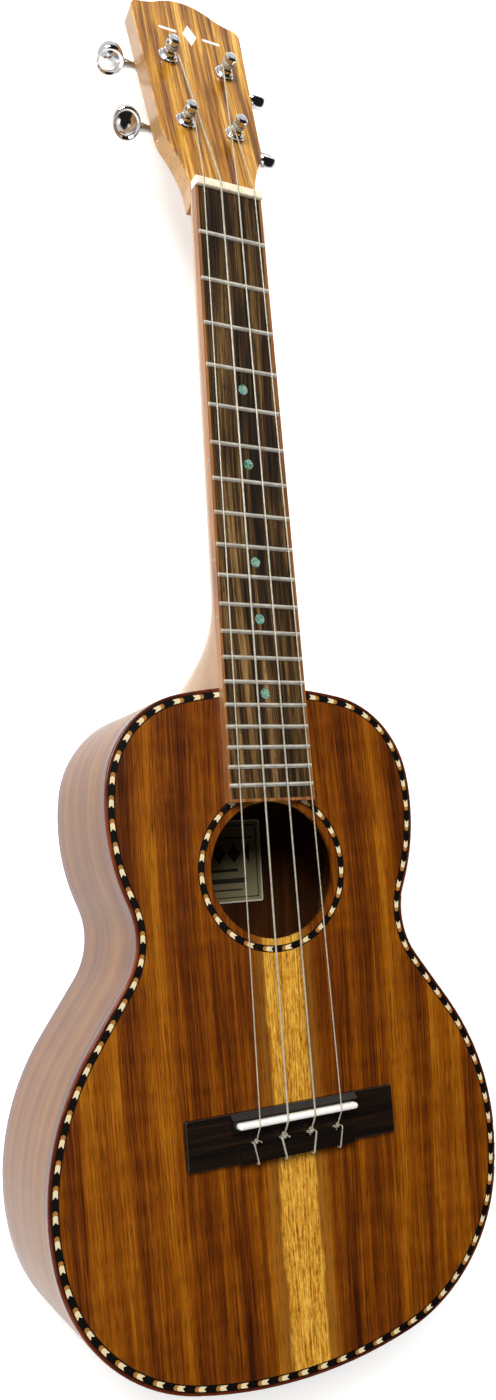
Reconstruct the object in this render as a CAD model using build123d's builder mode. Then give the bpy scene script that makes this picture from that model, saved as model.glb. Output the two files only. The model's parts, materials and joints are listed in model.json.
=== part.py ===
from build123d import *
import os
from math import asin, atan, atan2, cos, degrees, hypot, pi, radians, sin, tan

# A tenor ukulele lying on its back. All sizes are in millimetres and degrees.
# The origin is on the back's outer face, on the centre line, half way along the body.
# +X is towards the treble side, +Y towards the headstock and +Z out of the soundboard.

# Scale and neck
scale_length = 432.0
fret_count = 19
body_joint_fret = 14
nut_width = 35.0
board_width_growth = 10.0 / 287.8  # total taper per millimetre of length
board_length = 295.5  # from the nut line to the end over the soundhole
board_thickness = 4.5
board_binding = 1.4
fret_crown_width = 2.0
fret_crown_height = 0.95
fret_tang_width = 0.5
fret_tang_depth = 1.8
fret_end_inset = 0.6
marker_frets = (5, 7, 10, 12, 15)
marker_diameter = 4.8
marker_depth = 1.2
side_marker_diameter = 2.0
neck_depth_at_nut = 13.4
neck_depth_growth = 0.0122  # per millimetre towards the body
heel_start = 45.0  # distance from the body where the neck's back turns into the heel
heel_turn = 15.0  # distance from the body where the heel's face runs straight
heel_depth = 44.0  # added to the neck's depth at that turn
heel_power = 2.3
heel_bottom = 3.0
heel_cap_thickness = 1.5

# Body
neck_end_depth = 69.0
tail_end_depth = 79.0
top_thickness = 2.2
back_thickness = 2.5
side_thickness = 2.2
binding_width = 1.5
binding_height = 6.0
purfling_width = 3.3
purfling_depth = 1.3
soundhole_radius = 32.1
soundhole_to_nut = 327.4
rosette_radius = 36.9
lining_width = 5.5
lining_height = 10.0
graft_width = 6.0
plane_side = 400.0  # a square that is larger than the body
block_reach = 60.0  # drawn past the side, which trims it

# Blocks, dowels, braces and label inside the body
neck_block_width = 58.0
neck_block_length = 24.0
tail_block_width = 50.0
tail_block_length = 12.0
dowel_radius = 4.0
dowel_levels = (-22.0, -44.0)
dowel_reach = 12.0  # into the heel
dowel_depth = 34.0
brace_clearance = 0.4
fan_angles = (-11.0, 0.0, 11.0)
fan_length = 148.0
label_width = 58.0
label_height = 43.5

# Right half of the body outline from tail to neck, as tangent runs of (radius, turn).
# A negative radius is hollow. A radius of zero is a straight run of that length.
half_outline = [
    (222.0, 14.5),  # nearly flat tail
    (80.0, 63.5),  # corner of the lower bout
    (118.0, 47.5),  # side of the lower bout
    (0.0, 30.0),  # straight run into the waist
    (-37.0, 58.0),  # waist
    (102.0, 31.5),  # out of the waist
    (47.0, 69.5),  # shoulder of the upper bout
]

# Headstock
headstock_angle = 14.5
headstock_thickness = 10.0
veneer_thickness = 1.0
veneer_start = 1.7  # past the nut line, under the nut
inlay_depth = 0.5
post_places = {"g": (-13.3, 40.5), "c": (-15.5, 81.8), "e": (15.5, 81.8), "a": (13.3, 40.5)}

# Strings, named from bass side to treble side
string_names = ("g", "c", "e", "a")
string_diameters = {"g": 0.62, "c": 0.91, "e": 0.81, "a": 0.62}
nut_spacing = 9.0
saddle_spacing = 14.15

# Nut, saddle and bridge
nut_front = -1.5  # past the nut line, towards the body
nut_thickness = 4.0
nut_height = 6.4
nut_slot_floor = 5.6
bridge_width = 108.0
bridge_front_from_nut = 435.0
bridge_length = 22.4
wing_height = 2.8
block_height = 6.0
saddle_block_half = 32.5
tie_block_half = 29.0
tie_block_length = 6.8
saddle_from_front = 5.2
saddle_thickness = 3.0
saddle_length = 62.0
saddle_slot_depth = 3.0
saddle_crest = 9.5
tie_hole_height = 3.6
string_rise = 0.04  # clearance over the saddle
knot_reach = 1.8
knot_half_width = 1.9

# Tuning machines, measured from the headstock face along the post
post_radius = 3.0
post_top = 10.5
waist_radius = 2.4
winding_base = 5.1
winding_turns = 2.5
bushing_sleeve_radius = 4.0
bushing_flange_radius = 5.0
plate_thickness = 1.0
plate_half_width = 6.5
screw_radius = 1.0
screw_spots = (-7.8, 13.4)  # along the plate, from the post towards the worm
ear_inner = 4.5
ear_thickness = 1.2
worm_level = -15.2
worm_offset = 8.0
worm_shaft_radius = 1.6
thread_turns = 3
thread_tip = 0.25
thread_root = 0.62
gear_teeth = 14
gear_module = 0.7
gear_width = 2.4
gear_seat_radius = 2.0
tooth_width = 0.85  # at the pitch line, which leaves backlash
button_reach = 24.6
button_along = 15.6  # along its shaft
button_across = 15.6
button_thickness = 6.5
button_angles = {"g": 60.0, "c": 86.0, "e": -38.0, "a": -32.0}  # lean of the face towards the body
fit_gap = 0.06  # radial clearance of a shaft that turns
glue_gap = 0.02  # radial clearance of a part that is held fast


def fret_distance(fret):
    """Distance from the nut line to a fret on an equal-tempered board."""
    return scale_length * (1 - 2 ** (-fret / 12))


def walk_half_outline():
    """Each run as start x, start y, heading, radius and turn, with the full length."""
    x, y, heading = 0.0, 0.0, 0.0
    runs = []
    for radius, turn in half_outline:
        runs.append((x, y, heading, radius, turn))
        if radius == 0:
            x += turn * cos(heading)
            y += turn * sin(heading)
            continue
        after = heading + (1 if radius > 0 else -1) * radians(turn)
        x += radius * (sin(after) - sin(heading))
        y += radius * (cos(heading) - cos(after))
        heading = after
    closing_radius = x / sin(heading)
    runs.append((x, y, heading, closing_radius, 180 - degrees(heading)))
    length = y + closing_radius * (1 + cos(heading))
    return runs, length


outline_runs, body_length = walk_half_outline()
half_length = body_length / 2
nut_y = half_length + fret_distance(body_joint_fret) + 1.0
hinge_y = nut_y + 1.0  # where the headstock face leaves the neck's line
soundhole_y = nut_y - soundhole_to_nut
bridge_front_y = nut_y - bridge_front_from_nut
bridge_back_y = bridge_front_y - bridge_length
saddle_y = bridge_front_y - saddle_from_front
tie_front_y = bridge_back_y + tie_block_length
body_taper = atan((tail_end_depth - neck_end_depth) / body_length)

# The deck is the soundboard's outer face. It slopes down towards the neck, so that the back lies flat.
deck = Plane(
    origin=(0, 0, (neck_end_depth + tail_end_depth) / 2),
    x_dir=(1, 0, 0),
    z_dir=(0, sin(body_taper), cos(body_taper)),
)
deck_axis = Axis(deck.origin, deck.z_dir)
inner_back = Plane.XY.offset(back_thickness)
through_body = -(tail_end_depth + 6.0)


def deck_point(x, y, z=0.0):
    """A place given on the deck and above it, in the part's frame."""
    return deck.from_local_coords(Vector(x, y, z))


def across(y, z=0.0):
    """An upright plane across the instrument: x to the treble side, y away from the deck."""
    return Plane(origin=deck_point(0, y, z), x_dir=(1, 0, 0), z_dir=-deck.y_dir)


def along(x, z=0.0):
    """An upright plane along the instrument: x towards the headstock, y away from the deck."""
    return Plane(origin=deck_point(x, 0, z), x_dir=deck.y_dir, z_dir=deck.x_dir)


head = Plane(
    origin=deck_point(0, hinge_y),
    x_dir=(1, 0, 0),
    z_dir=(0, sin(body_taper + radians(headstock_angle)), cos(body_taper + radians(headstock_angle))),
)


def body_face(inset=0.0):
    """The body outline, moved inwards by inset, as a flat face about the origin."""
    with BuildSketch() as sketch:
        with BuildLine():
            for x, y, heading, radius, turn in outline_runs:
                start = (x - inset * sin(heading), y - half_length + inset * cos(heading))
                ahead = (cos(heading), sin(heading))
                if radius == 0:
                    Line(start, (start[0] + turn * ahead[0], start[1] + turn * ahead[1]))
                elif radius > 0:
                    JernArc(start, ahead, radius - inset, turn)
                else:
                    JernArc(start, ahead, -radius + inset, -turn)
            mirror(about=Plane.YZ)
        make_face()
    return sketch.sketch


def ring_face(outer, inner):
    """The strip between two insets of the body outline."""
    with BuildSketch() as sketch:
        add(body_face(outer))
        add(body_face(inner), mode=Mode.SUBTRACT)
    return sketch.sketch


def board_width(from_nut):
    """Width of the bound fingerboard at a distance from the nut line."""
    return nut_width + board_width_growth * from_nut


def write(builder, name):
    """Labels a finished piece and writes its file."""
    builder.part.label = name
    export_step(builder.part, f"parts/{name}.step")


os.makedirs("parts", exist_ok=True)
# Body: binding, purfling and rosette
with BuildPart() as top_binding:
    with BuildSketch(deck):
        add(ring_face(0, binding_width))
    extrude(amount=-binding_height)
    rim = top_binding.faces().sort_by(deck_axis)[-1].outer_wire().edges()
    fillet(rim, 0.8)
write(top_binding, "top_binding")

with BuildPart() as back_binding:
    with BuildSketch(deck):
        add(ring_face(0, binding_width))
    extrude(amount=through_body)
    split(bisect_by=Plane.XY.offset(binding_height), keep=Keep.BOTTOM)
    split(bisect_by=Plane.XY, keep=Keep.TOP)
write(back_binding, "back_binding")

with BuildPart() as top_purfling:
    with BuildSketch(deck):
        add(ring_face(binding_width, binding_width + purfling_width))
    extrude(amount=-purfling_depth)
write(top_purfling, "top_purfling")

with BuildPart() as rosette:
    with BuildSketch(deck):
        with Locations((0, soundhole_y)):
            Circle(rosette_radius + purfling_width / 2)
            Circle(rosette_radius - purfling_width / 2, mode=Mode.SUBTRACT)
    extrude(amount=-purfling_depth)
write(rosette, "rosette")

# Body: bookmatched soundboard and back, bent sides
for name, side in (("soundboard_bass", -1), ("soundboard_treble", 1)):
    with BuildPart() as soundboard:
        with BuildSketch(deck):
            add(body_face(binding_width))
            with Locations((0, soundhole_y)):
                Circle(soundhole_radius, mode=Mode.SUBTRACT)
            with Locations((-side * plane_side / 2, 0)):
                Rectangle(plane_side, plane_side, mode=Mode.SUBTRACT)
        extrude(amount=-top_thickness)
        with BuildSketch(deck):
            add(ring_face(binding_width, binding_width + purfling_width))
            with Locations((0, soundhole_y)):
                Circle(rosette_radius + purfling_width / 2)
                Circle(rosette_radius - purfling_width / 2, mode=Mode.SUBTRACT)
        extrude(amount=-purfling_depth, mode=Mode.SUBTRACT)
    write(soundboard, name)

for name, side in (("back_bass", -1), ("back_treble", 1)):
    with BuildPart() as back_plate:
        with BuildSketch(deck):
            add(body_face(binding_width))
            with Locations((-side * plane_side / 2, 0)):
                Rectangle(plane_side, plane_side, mode=Mode.SUBTRACT)
        extrude(amount=through_body)
        split(bisect_by=inner_back, keep=Keep.BOTTOM)
        split(bisect_by=Plane.XY, keep=Keep.TOP)
    write(back_plate, name)

with BuildPart() as neck_dowels:
    for level in dowel_levels:
        with BuildSketch(across(half_length + dowel_reach, level)):
            Circle(dowel_radius)
        extrude(amount=dowel_depth)
write(neck_dowels, "neck_dowels")

with BuildPart() as dowel_bores:
    for level in dowel_levels:
        with BuildSketch(across(half_length + dowel_reach, level)):
            Circle(dowel_radius + glue_gap)
        extrude(amount=dowel_depth)

for name, side in (("side_bass", -1), ("side_treble", 1)):
    with BuildPart() as body_side:
        with BuildSketch(deck.offset(-top_thickness)):
            add(ring_face(0, side_thickness))
            with Locations((-side * plane_side / 2, 0)):
                Rectangle(plane_side, plane_side, mode=Mode.SUBTRACT)
            with Locations((0, -half_length)):
                Rectangle(graft_width, 4 * side_thickness, mode=Mode.SUBTRACT)
        extrude(amount=through_body)
        split(bisect_by=inner_back, keep=Keep.TOP)
        add(top_binding.part, mode=Mode.SUBTRACT)
        add(back_binding.part, mode=Mode.SUBTRACT)
        add(dowel_bores.part, mode=Mode.SUBTRACT)
    write(body_side, name)

with BuildPart() as end_graft:
    with BuildSketch(deck.offset(-top_thickness)):
        add(ring_face(0, side_thickness))
        with Locations((0, -half_length)):
            Rectangle(graft_width, 4 * side_thickness, mode=Mode.INTERSECT)
    extrude(amount=through_body)
    split(bisect_by=inner_back, keep=Keep.TOP)
    add(top_binding.part, mode=Mode.SUBTRACT)
    add(back_binding.part, mode=Mode.SUBTRACT)
write(end_graft, "end_graft")

# Body: blocks and linings
with BuildPart() as neck_block:
    with BuildSketch(deck.offset(-top_thickness)):
        add(body_face(side_thickness))
        with Locations((0, half_length - neck_block_length + block_reach / 2)):
            Rectangle(neck_block_width, block_reach, mode=Mode.INTERSECT)
    extrude(amount=through_body)
    split(bisect_by=inner_back, keep=Keep.TOP)
    add(dowel_bores.part, mode=Mode.SUBTRACT)
write(neck_block, "neck_block")

with BuildPart() as tail_block:
    with BuildSketch(deck.offset(-top_thickness)):
        add(body_face(side_thickness))
        with Locations((0, -half_length + tail_block_length - block_reach / 2)):
            Rectangle(tail_block_width, block_reach, mode=Mode.INTERSECT)
    extrude(amount=through_body)
    split(bisect_by=inner_back, keep=Keep.TOP)
write(tail_block, "tail_block")

with BuildPart() as top_lining:
    with BuildSketch(deck.offset(-top_thickness)):
        add(ring_face(side_thickness, side_thickness + lining_width))
    extrude(amount=-lining_height)
    inner_edge = top_lining.faces().sort_by(deck_axis)[0].inner_wires()[0].edges()
    chamfer(inner_edge, lining_width * 0.6)
    add(neck_block.part, mode=Mode.SUBTRACT)
    add(tail_block.part, mode=Mode.SUBTRACT)
write(top_lining, "top_lining")

with BuildPart() as back_lining:
    with BuildSketch(deck):
        add(ring_face(side_thickness, side_thickness + lining_width))
    extrude(amount=through_body)
    split(bisect_by=Plane.XY.offset(back_thickness + lining_height), keep=Keep.BOTTOM)
    split(bisect_by=inner_back, keep=Keep.TOP)
    add(neck_block.part, mode=Mode.SUBTRACT)
    add(tail_block.part, mode=Mode.SUBTRACT)
write(back_lining, "back_lining")

# Body: braces, bridge plate, label
inner_inset = side_thickness + lining_width + brace_clearance


def arched_profile(length, height, end_height):
    """A brace seen from its side: flat against the plate, arched away from it, standing on x = 0."""
    with BuildSketch() as sketch:
        with BuildLine():
            Line((-length / 2, 0), (length / 2, 0))
            Line((length / 2, 0), (length / 2, end_height))
            ThreePointArc((length / 2, end_height), (0, height), (-length / 2, end_height))
            Line((-length / 2, end_height), (-length / 2, 0))
        make_face()
    return sketch.sketch


with BuildPart() as bridge_plate:
    with BuildSketch(deck.offset(-top_thickness)):
        with Locations((0, (bridge_front_y + bridge_back_y) / 2)):
            Rectangle(120, 30)
        fillet(vertices(), 4)
    extrude(amount=-2.0)
write(bridge_plate, "bridge_plate")

with BuildPart() as soundboard_braces:
    for brace_y in (soundhole_y + 47.0, soundhole_y - 44.0):
        brace_foot = deck_point(0, brace_y, -top_thickness)
        with BuildSketch(Plane(origin=brace_foot, x_dir=(-1, 0, 0), z_dir=-deck.y_dir)):
            add(arched_profile(150, 9.0, 3.0))
        extrude(amount=3.0, both=True)
    with BuildSketch(deck):
        add(body_face(inner_inset))
    extrude(amount=-30, mode=Mode.INTERSECT)
write(soundboard_braces, "soundboard_braces")

fan_top_y = soundhole_y - 50.0
with BuildPart() as fan_braces:
    for angle in fan_angles:
        turn = radians(angle)
        heading = deck.x_dir * sin(turn) - deck.y_dir * cos(turn)
        middle = deck_point(0.9 * angle, fan_top_y, -top_thickness) + heading * fan_length / 2
        with BuildSketch(Plane(origin=middle, x_dir=heading, z_dir=heading.cross(-deck.z_dir))):
            add(arched_profile(fan_length, 6.0, 1.5))
        extrude(amount=2.5, both=True)
    with BuildSketch(deck):
        add(body_face(inner_inset + tail_block_length))
    extrude(amount=-30, mode=Mode.INTERSECT)
    add(bridge_plate.part, mode=Mode.SUBTRACT)
write(fan_braces, "fan_braces")

with BuildPart() as back_braces:
    for brace_y in (soundhole_y + 46.0, soundhole_y - 46.0, soundhole_y - 150.0):
        with BuildSketch(Plane(origin=(0, brace_y, back_thickness), x_dir=(1, 0, 0), z_dir=(0, -1, 0))):
            add(arched_profile(240, 10.0, 0.5))
        extrude(amount=4.0, both=True)
    with BuildSketch(deck):
        add(body_face(inner_inset))
    extrude(amount=through_body, mode=Mode.INTERSECT)
write(back_braces, "back_braces")

strip_runs = ((-146.0, soundhole_y - 50.0), (soundhole_y + 50.0, 130.0))

with BuildPart() as back_strip:
    with BuildSketch(inner_back):
        for low, high in strip_runs:
            with Locations((0, (low + high) / 2)):
                Rectangle(15.0, high - low)
    extrude(amount=2.0)
    add(back_braces.part, mode=Mode.SUBTRACT)
write(back_strip, "back_strip")

label_y = soundhole_y + 4.0

with BuildPart() as label:
    with BuildSketch(inner_back):
        with Locations((0, label_y)):
            RectangleRounded(label_width, label_height, 1.0)
    extrude(amount=0.15)
write(label, "label")

# Fingerboard
board_end = -board_length


def board_face(edge, start, end):
    """The tapered board between two distances from the nut line, narrowed by edge on each side."""
    with BuildSketch() as sketch:
        with BuildLine():
            near = board_width(-start) / 2 - edge
            far = board_width(-end) / 2 - edge
            Polyline(
                (-near, nut_y + start),
                (near, nut_y + start),
                (far, nut_y + end),
                (-far, nut_y + end),
                (-near, nut_y + start),
            )
        make_face()
    return sketch.sketch


def marker_place(fret):
    """Middle of the space below a fret."""
    return nut_y - (fret_distance(fret) + fret_distance(fret - 1)) / 2


def side_marker_plane(fret):
    """On the bass edge of the board, facing out."""
    y = marker_place(fret)
    edge = board_width(nut_y - y) / 2
    return Plane(origin=deck_point(-edge, y, board_thickness / 2), x_dir=deck.y_dir, z_dir=(-1, 0, 0))


with BuildPart() as fingerboard:
    with BuildSketch(deck):
        add(board_face(board_binding, nut_front, board_end + board_binding))
    extrude(amount=board_thickness)
    with BuildSketch(deck.offset(board_thickness)):
        for fret in range(1, fret_count + 1):
            with Locations((0, nut_y - fret_distance(fret))):
                Rectangle(60, fret_tang_width)
    extrude(amount=-fret_tang_depth, mode=Mode.SUBTRACT)
    with BuildSketch(deck.offset(board_thickness)):
        for fret in marker_frets:
            with Locations((0, marker_place(fret))):
                Circle(marker_diameter / 2)
    extrude(amount=-marker_depth, mode=Mode.SUBTRACT)
write(fingerboard, "fingerboard")

with BuildPart() as fingerboard_binding:
    with BuildSketch(deck):
        add(board_face(0, nut_front, board_end))
        add(board_face(board_binding, nut_front + 1, board_end + board_binding), mode=Mode.SUBTRACT)
    extrude(amount=board_thickness)
    for fret in marker_frets:
        with BuildSketch(side_marker_plane(fret)):
            Circle(side_marker_diameter / 2)
        extrude(amount=-1.0, mode=Mode.SUBTRACT)
write(fingerboard_binding, "fingerboard_binding")

with BuildPart() as position_markers:
    with BuildSketch(deck.offset(board_thickness)):
        for fret in marker_frets:
            with Locations((0, marker_place(fret))):
                Circle(marker_diameter / 2)
    extrude(amount=-marker_depth)
    for fret in marker_frets:
        with BuildSketch(side_marker_plane(fret)):
            Circle(side_marker_diameter / 2)
        extrude(amount=-1.0)
write(position_markers, "position_markers")

with BuildPart() as frets:
    for fret in range(1, fret_count + 1):
        fret_y = nut_y - fret_distance(fret)
        width = board_width(fret_distance(fret))
        with BuildSketch(along(0, board_thickness)):
            with BuildLine():
                Line((fret_y - fret_crown_width / 2, 0), (fret_y + fret_crown_width / 2, 0))
                ThreePointArc(
                    (fret_y + fret_crown_width / 2, 0),
                    (fret_y, fret_crown_height),
                    (fret_y - fret_crown_width / 2, 0),
                )
            make_face()
        extrude(amount=width / 2 - fret_end_inset, both=True)
        with BuildSketch(along(0, board_thickness - fret_tang_depth / 2)):
            with Locations((fret_y, 0)):
                Rectangle(fret_tang_width, fret_tang_depth)
        extrude(amount=width / 2 - board_binding - 0.1, both=True)
write(frets, "frets")

# Neck, heel and headstock
def neck_depth(y):
    """Depth of the neck's round back below the deck."""
    from_body = y - half_length
    depth = neck_depth_at_nut + neck_depth_growth * (hinge_y - y)
    if from_body >= heel_start:
        return depth
    run = heel_start - heel_turn
    if from_body >= heel_turn:
        return depth + heel_depth * ((heel_start - from_body) / run) ** heel_power
    return depth + heel_depth + heel_depth * heel_power / run * (heel_turn - from_body)


def neck_blank():
    """The neck's round back with its heel, before the headstock and the body trim it."""
    heel_steps = 14
    heel_places = [heel_start - (heel_start - heel_turn) * i / heel_steps for i in range(heel_steps + 1)]
    places = [hinge_y + 14.0, hinge_y - 60.0, half_length + 90.0]
    places += [half_length + place for place in heel_places]
    places.append(half_length - 4.0)
    with BuildPart() as blank:
        for y in places:
            half_width = board_width(nut_y - y) / 2
            depth = neck_depth(y)
            with BuildSketch(across(y)):
                Ellipse(half_width, depth)
                with Locations((0, depth)):
                    Rectangle(3 * half_width, 2 * depth, mode=Mode.SUBTRACT)
        loft(ruled=True)
        with BuildSketch(deck):
            add(body_face())
        extrude(amount=through_body, mode=Mode.SUBTRACT)
    return blank.part


def headstock_face(start):
    """The headstock seen from in front, from a distance start past the nut."""
    with BuildSketch() as sketch:
        with BuildLine():
            Line((0, start), (17.6, start))
            Line((17.6, start), (17.6, max(start, 0) + 2.0))
            ThreePointArc((17.6, max(start, 0) + 2.0), (20.6, 16.0), (25.0, 26.5))
            ThreePointArc((25.0, 26.5), (26.7, 31.5), (27.1, 37.0))
            Line((27.1, 37.0), (30.1, 110.0))
            ThreePointArc((30.1, 110.0), (29.1, 114.0), (25.5, 115.9))
            ThreePointArc((25.5, 115.9), (20.5, 117.1), (15.5, 119.3))
            ThreePointArc((15.5, 119.3), (8.0, 122.8), (0, 124.0))
            mirror(about=Plane.YZ)
        make_face()
    return sketch.sketch


def tuner_plane(string):
    """A tuner's own frame on the headstock face: x outwards to its button, z along its post."""
    x, s = post_places[string]
    outward = 1 if x > 0 else -1
    return Plane(origin=head.from_local_coords(Vector(x, s, 0)), x_dir=(outward, 0, 0), z_dir=head.z_dir)


def worm_side(string):
    """The worm lies past the post, towards the headstock's tip."""
    return worm_offset if post_places[string][0] > 0 else -worm_offset


def inlay_face():
    """A plain lozenge between two bars near the headstock's tip."""
    with BuildSketch() as sketch:
        with Locations((0, 102.0)):
            Polygon((0, 7.0), (4.0, 0), (0, -7.0), (-4.0, 0), align=None)
        with Locations((-12.0, 102.0), (12.0, 102.0)):
            SlotOverall(10.0, 1.8)
    return sketch.sketch


with BuildPart() as headstock_veneer:
    with BuildSketch(head):
        add(headstock_face(veneer_start))
        for x, s in post_places.values():
            with Locations((x, s)):
                Circle(bushing_sleeve_radius, mode=Mode.SUBTRACT)
    extrude(amount=-veneer_thickness)
    with BuildSketch(head):
        add(inlay_face())
    extrude(amount=-inlay_depth, mode=Mode.SUBTRACT)
write(headstock_veneer, "headstock_veneer")

with BuildPart() as headstock_inlay:
    with BuildSketch(head):
        add(inlay_face())
    extrude(amount=-inlay_depth)
write(headstock_inlay, "headstock_inlay")

with BuildPart() as neck:
    add(neck_blank())
    with BuildSketch(head.offset(-veneer_thickness)):
        add(headstock_face(-8.0))
    extrude(amount=-(headstock_thickness - veneer_thickness))
    split(bisect_by=deck, keep=Keep.BOTTOM)
    split(bisect_by=head, keep=Keep.BOTTOM)
    split(bisect_by=Plane.XY.offset(heel_bottom), keep=Keep.TOP)
    with BuildSketch(head):
        add(headstock_face(veneer_start))
    extrude(amount=-veneer_thickness, mode=Mode.SUBTRACT)
    with BuildSketch(head):
        for x, s in post_places.values():
            with Locations((x, s)):
                Circle(bushing_sleeve_radius)
    extrude(amount=-headstock_thickness, mode=Mode.SUBTRACT)
    for string in string_names:
        toward_worm = 1 if worm_side(string) > 0 else -1
        with BuildSketch(tuner_plane(string).offset(-headstock_thickness)):
            for spot in screw_spots:
                with Locations((0, toward_worm * spot)):
                    Circle(screw_radius + glue_gap)
        extrude(amount=6.0, mode=Mode.SUBTRACT)
    add(dowel_bores.part, mode=Mode.SUBTRACT)
write(neck, "neck")

with BuildPart() as heel_cap:
    add(neck_blank())
    split(bisect_by=Plane.XY.offset(heel_bottom), keep=Keep.BOTTOM)
    split(bisect_by=Plane.XY.offset(heel_bottom - heel_cap_thickness), keep=Keep.TOP)
write(heel_cap, "heel_cap")

# Nut, bridge and saddle
string_at_nut = {name: (i - 1.5) * nut_spacing for i, name in enumerate(string_names)}
string_at_saddle = {name: (i - 1.5) * saddle_spacing for i, name in enumerate(string_names)}

nut_back_y = nut_y + nut_front + nut_thickness

with BuildPart() as nut:
    with BuildSketch(along(0)):
        with BuildLine():
            Polyline(
                (nut_y + nut_front, 0),
                (hinge_y, 0),
                (nut_back_y, -(nut_back_y - hinge_y) * tan(radians(headstock_angle))),
                (nut_back_y, nut_height),
                (nut_y + nut_front, nut_height),
                (nut_y + nut_front, 0),
            )
        make_face()
    extrude(amount=nut_width / 2, both=True)
    fillet(nut.faces().sort_by(deck_axis)[-1].edges(), 0.7)
    for name in string_names:
        radius = string_diameters[name] / 2 + 0.05
        with BuildSketch(across(nut_back_y + 1, nut_slot_floor + radius)):
            with Locations((string_at_nut[name], 0)):
                Circle(radius)
            with Locations((string_at_nut[name], 1.5)):
                Rectangle(2 * radius, 3.0)
        extrude(amount=nut_thickness + 2, mode=Mode.SUBTRACT)
write(nut, "nut")

with BuildPart() as bridge:
    with BuildSketch(deck):
        with Locations((0, (bridge_front_y + bridge_back_y) / 2)):
            Rectangle(bridge_width, bridge_length)
        fillet(vertices(), 0.8)
    extrude(amount=wing_height)
    fillet(bridge.faces().sort_by(deck_axis)[-1].edges(), 0.6)
    with BuildSketch(along(0)):
        with BuildLine():
            Polyline(
                (bridge_front_y, 0),
                (bridge_front_y, wing_height + 0.4),
                (bridge_front_y - 2.6, block_height),
                (bridge_front_y - 8.0, block_height),
                (bridge_front_y - 9.6, wing_height),
                (tie_front_y, wing_height),
                (tie_front_y, 0),
                (bridge_front_y, 0),
            )
        make_face()
    extrude(amount=saddle_block_half, both=True)
    with BuildSketch(along(0)):
        with Locations(((tie_front_y + bridge_back_y) / 2, block_height / 2)):
            Rectangle(tie_block_length, block_height)
    extrude(amount=tie_block_half, both=True)
    with BuildSketch(deck.offset(block_height)):
        with Locations((0, saddle_y)):
            SlotOverall(saddle_length + 2 * glue_gap, saddle_thickness + 2 * glue_gap)
    extrude(amount=-saddle_slot_depth, mode=Mode.SUBTRACT)
    with BuildSketch(across(bridge_back_y - 1, tie_hole_height)):
        for name in string_names:
            with Locations((string_at_saddle[name], 0)):
                Circle(0.8)
    extrude(amount=-(tie_block_length + 2), mode=Mode.SUBTRACT)
write(bridge, "bridge")

with BuildPart() as saddle:
    with BuildSketch(deck.offset(block_height - saddle_slot_depth)):
        with Locations((0, saddle_y)):
            SlotOverall(saddle_length, saddle_thickness)
    extrude(amount=saddle_crest - block_height + saddle_slot_depth)
    crown = saddle.faces().sort_by(deck_axis)[-1].edges()
    fillet(crown, saddle_thickness / 2 - 0.05)
write(saddle, "saddle")

# Tuning machines
gear_pitch_radius = gear_module * gear_teeth / 2
gear_tip_radius = gear_pitch_radius + 0.55
gear_root_radius = gear_pitch_radius - 0.85
worm_lead = pi * gear_module
worm_pitch_radius = worm_offset - gear_pitch_radius
worm_tip_radius = worm_pitch_radius + 0.55
worm_core_radius = worm_pitch_radius - 0.9
flank = tan(radians(20))
plate_back = -headstock_thickness - plate_thickness
gear_top = worm_level + gear_width / 2
gear_bottom = worm_level - gear_width / 2


def axial(plane):
    """A plane that holds the z axis of another plane: x is the radius and y runs along that axis."""
    return Plane(origin=plane.origin, x_dir=plane.x_dir, z_dir=-plane.y_dir)


def turned(plane, points):
    """A solid turned about a plane's z axis from a closed profile of (radius, height) points."""
    with BuildPart() as piece:
        with BuildSketch(axial(plane)):
            with BuildLine():
                Polyline(*points, points[0])
            make_face()
        revolve(axis=Axis(plane.origin, plane.z_dir))
    return piece.part


def worm_plane(string):
    """A plane square to the worm at the middle of its thread: z towards the button, x towards the post."""
    frame = tuner_plane(string)
    middle = frame.from_local_coords(Vector(0, worm_side(string), worm_level))
    towards_post = frame.y_dir * (-1 if worm_side(string) > 0 else 1)
    return Plane(origin=middle, x_dir=towards_post, z_dir=frame.x_dir)


def button_plane(string):
    """A plane in the middle of a button: x along its shaft, z out of its domed face."""
    frame = tuner_plane(string)
    centre = worm_plane(string).origin + frame.x_dir * button_reach
    lean = radians(button_angles[string])
    normal = frame.z_dir * cos(lean) - head.y_dir * sin(lean)
    return Plane(origin=centre, x_dir=frame.x_dir, z_dir=normal)


with BuildPart() as tuner_bushings:
    for string in string_names:
        sleeve = [
            (post_radius + fit_gap, -6.0),
            (bushing_sleeve_radius - glue_gap, -6.0),
            (bushing_sleeve_radius - glue_gap, 0.0),
            (bushing_flange_radius, 0.0),
            (bushing_flange_radius, 0.7),
            (bushing_flange_radius - 0.4, 1.1),
            (4.3, 1.1),
            (4.1, 1.8),
            (3.7, 2.1),
            (post_radius + fit_gap, 2.1),
        ]
        add(turned(tuner_plane(string), sleeve))
write(tuner_bushings, "tuner_bushings")

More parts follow.
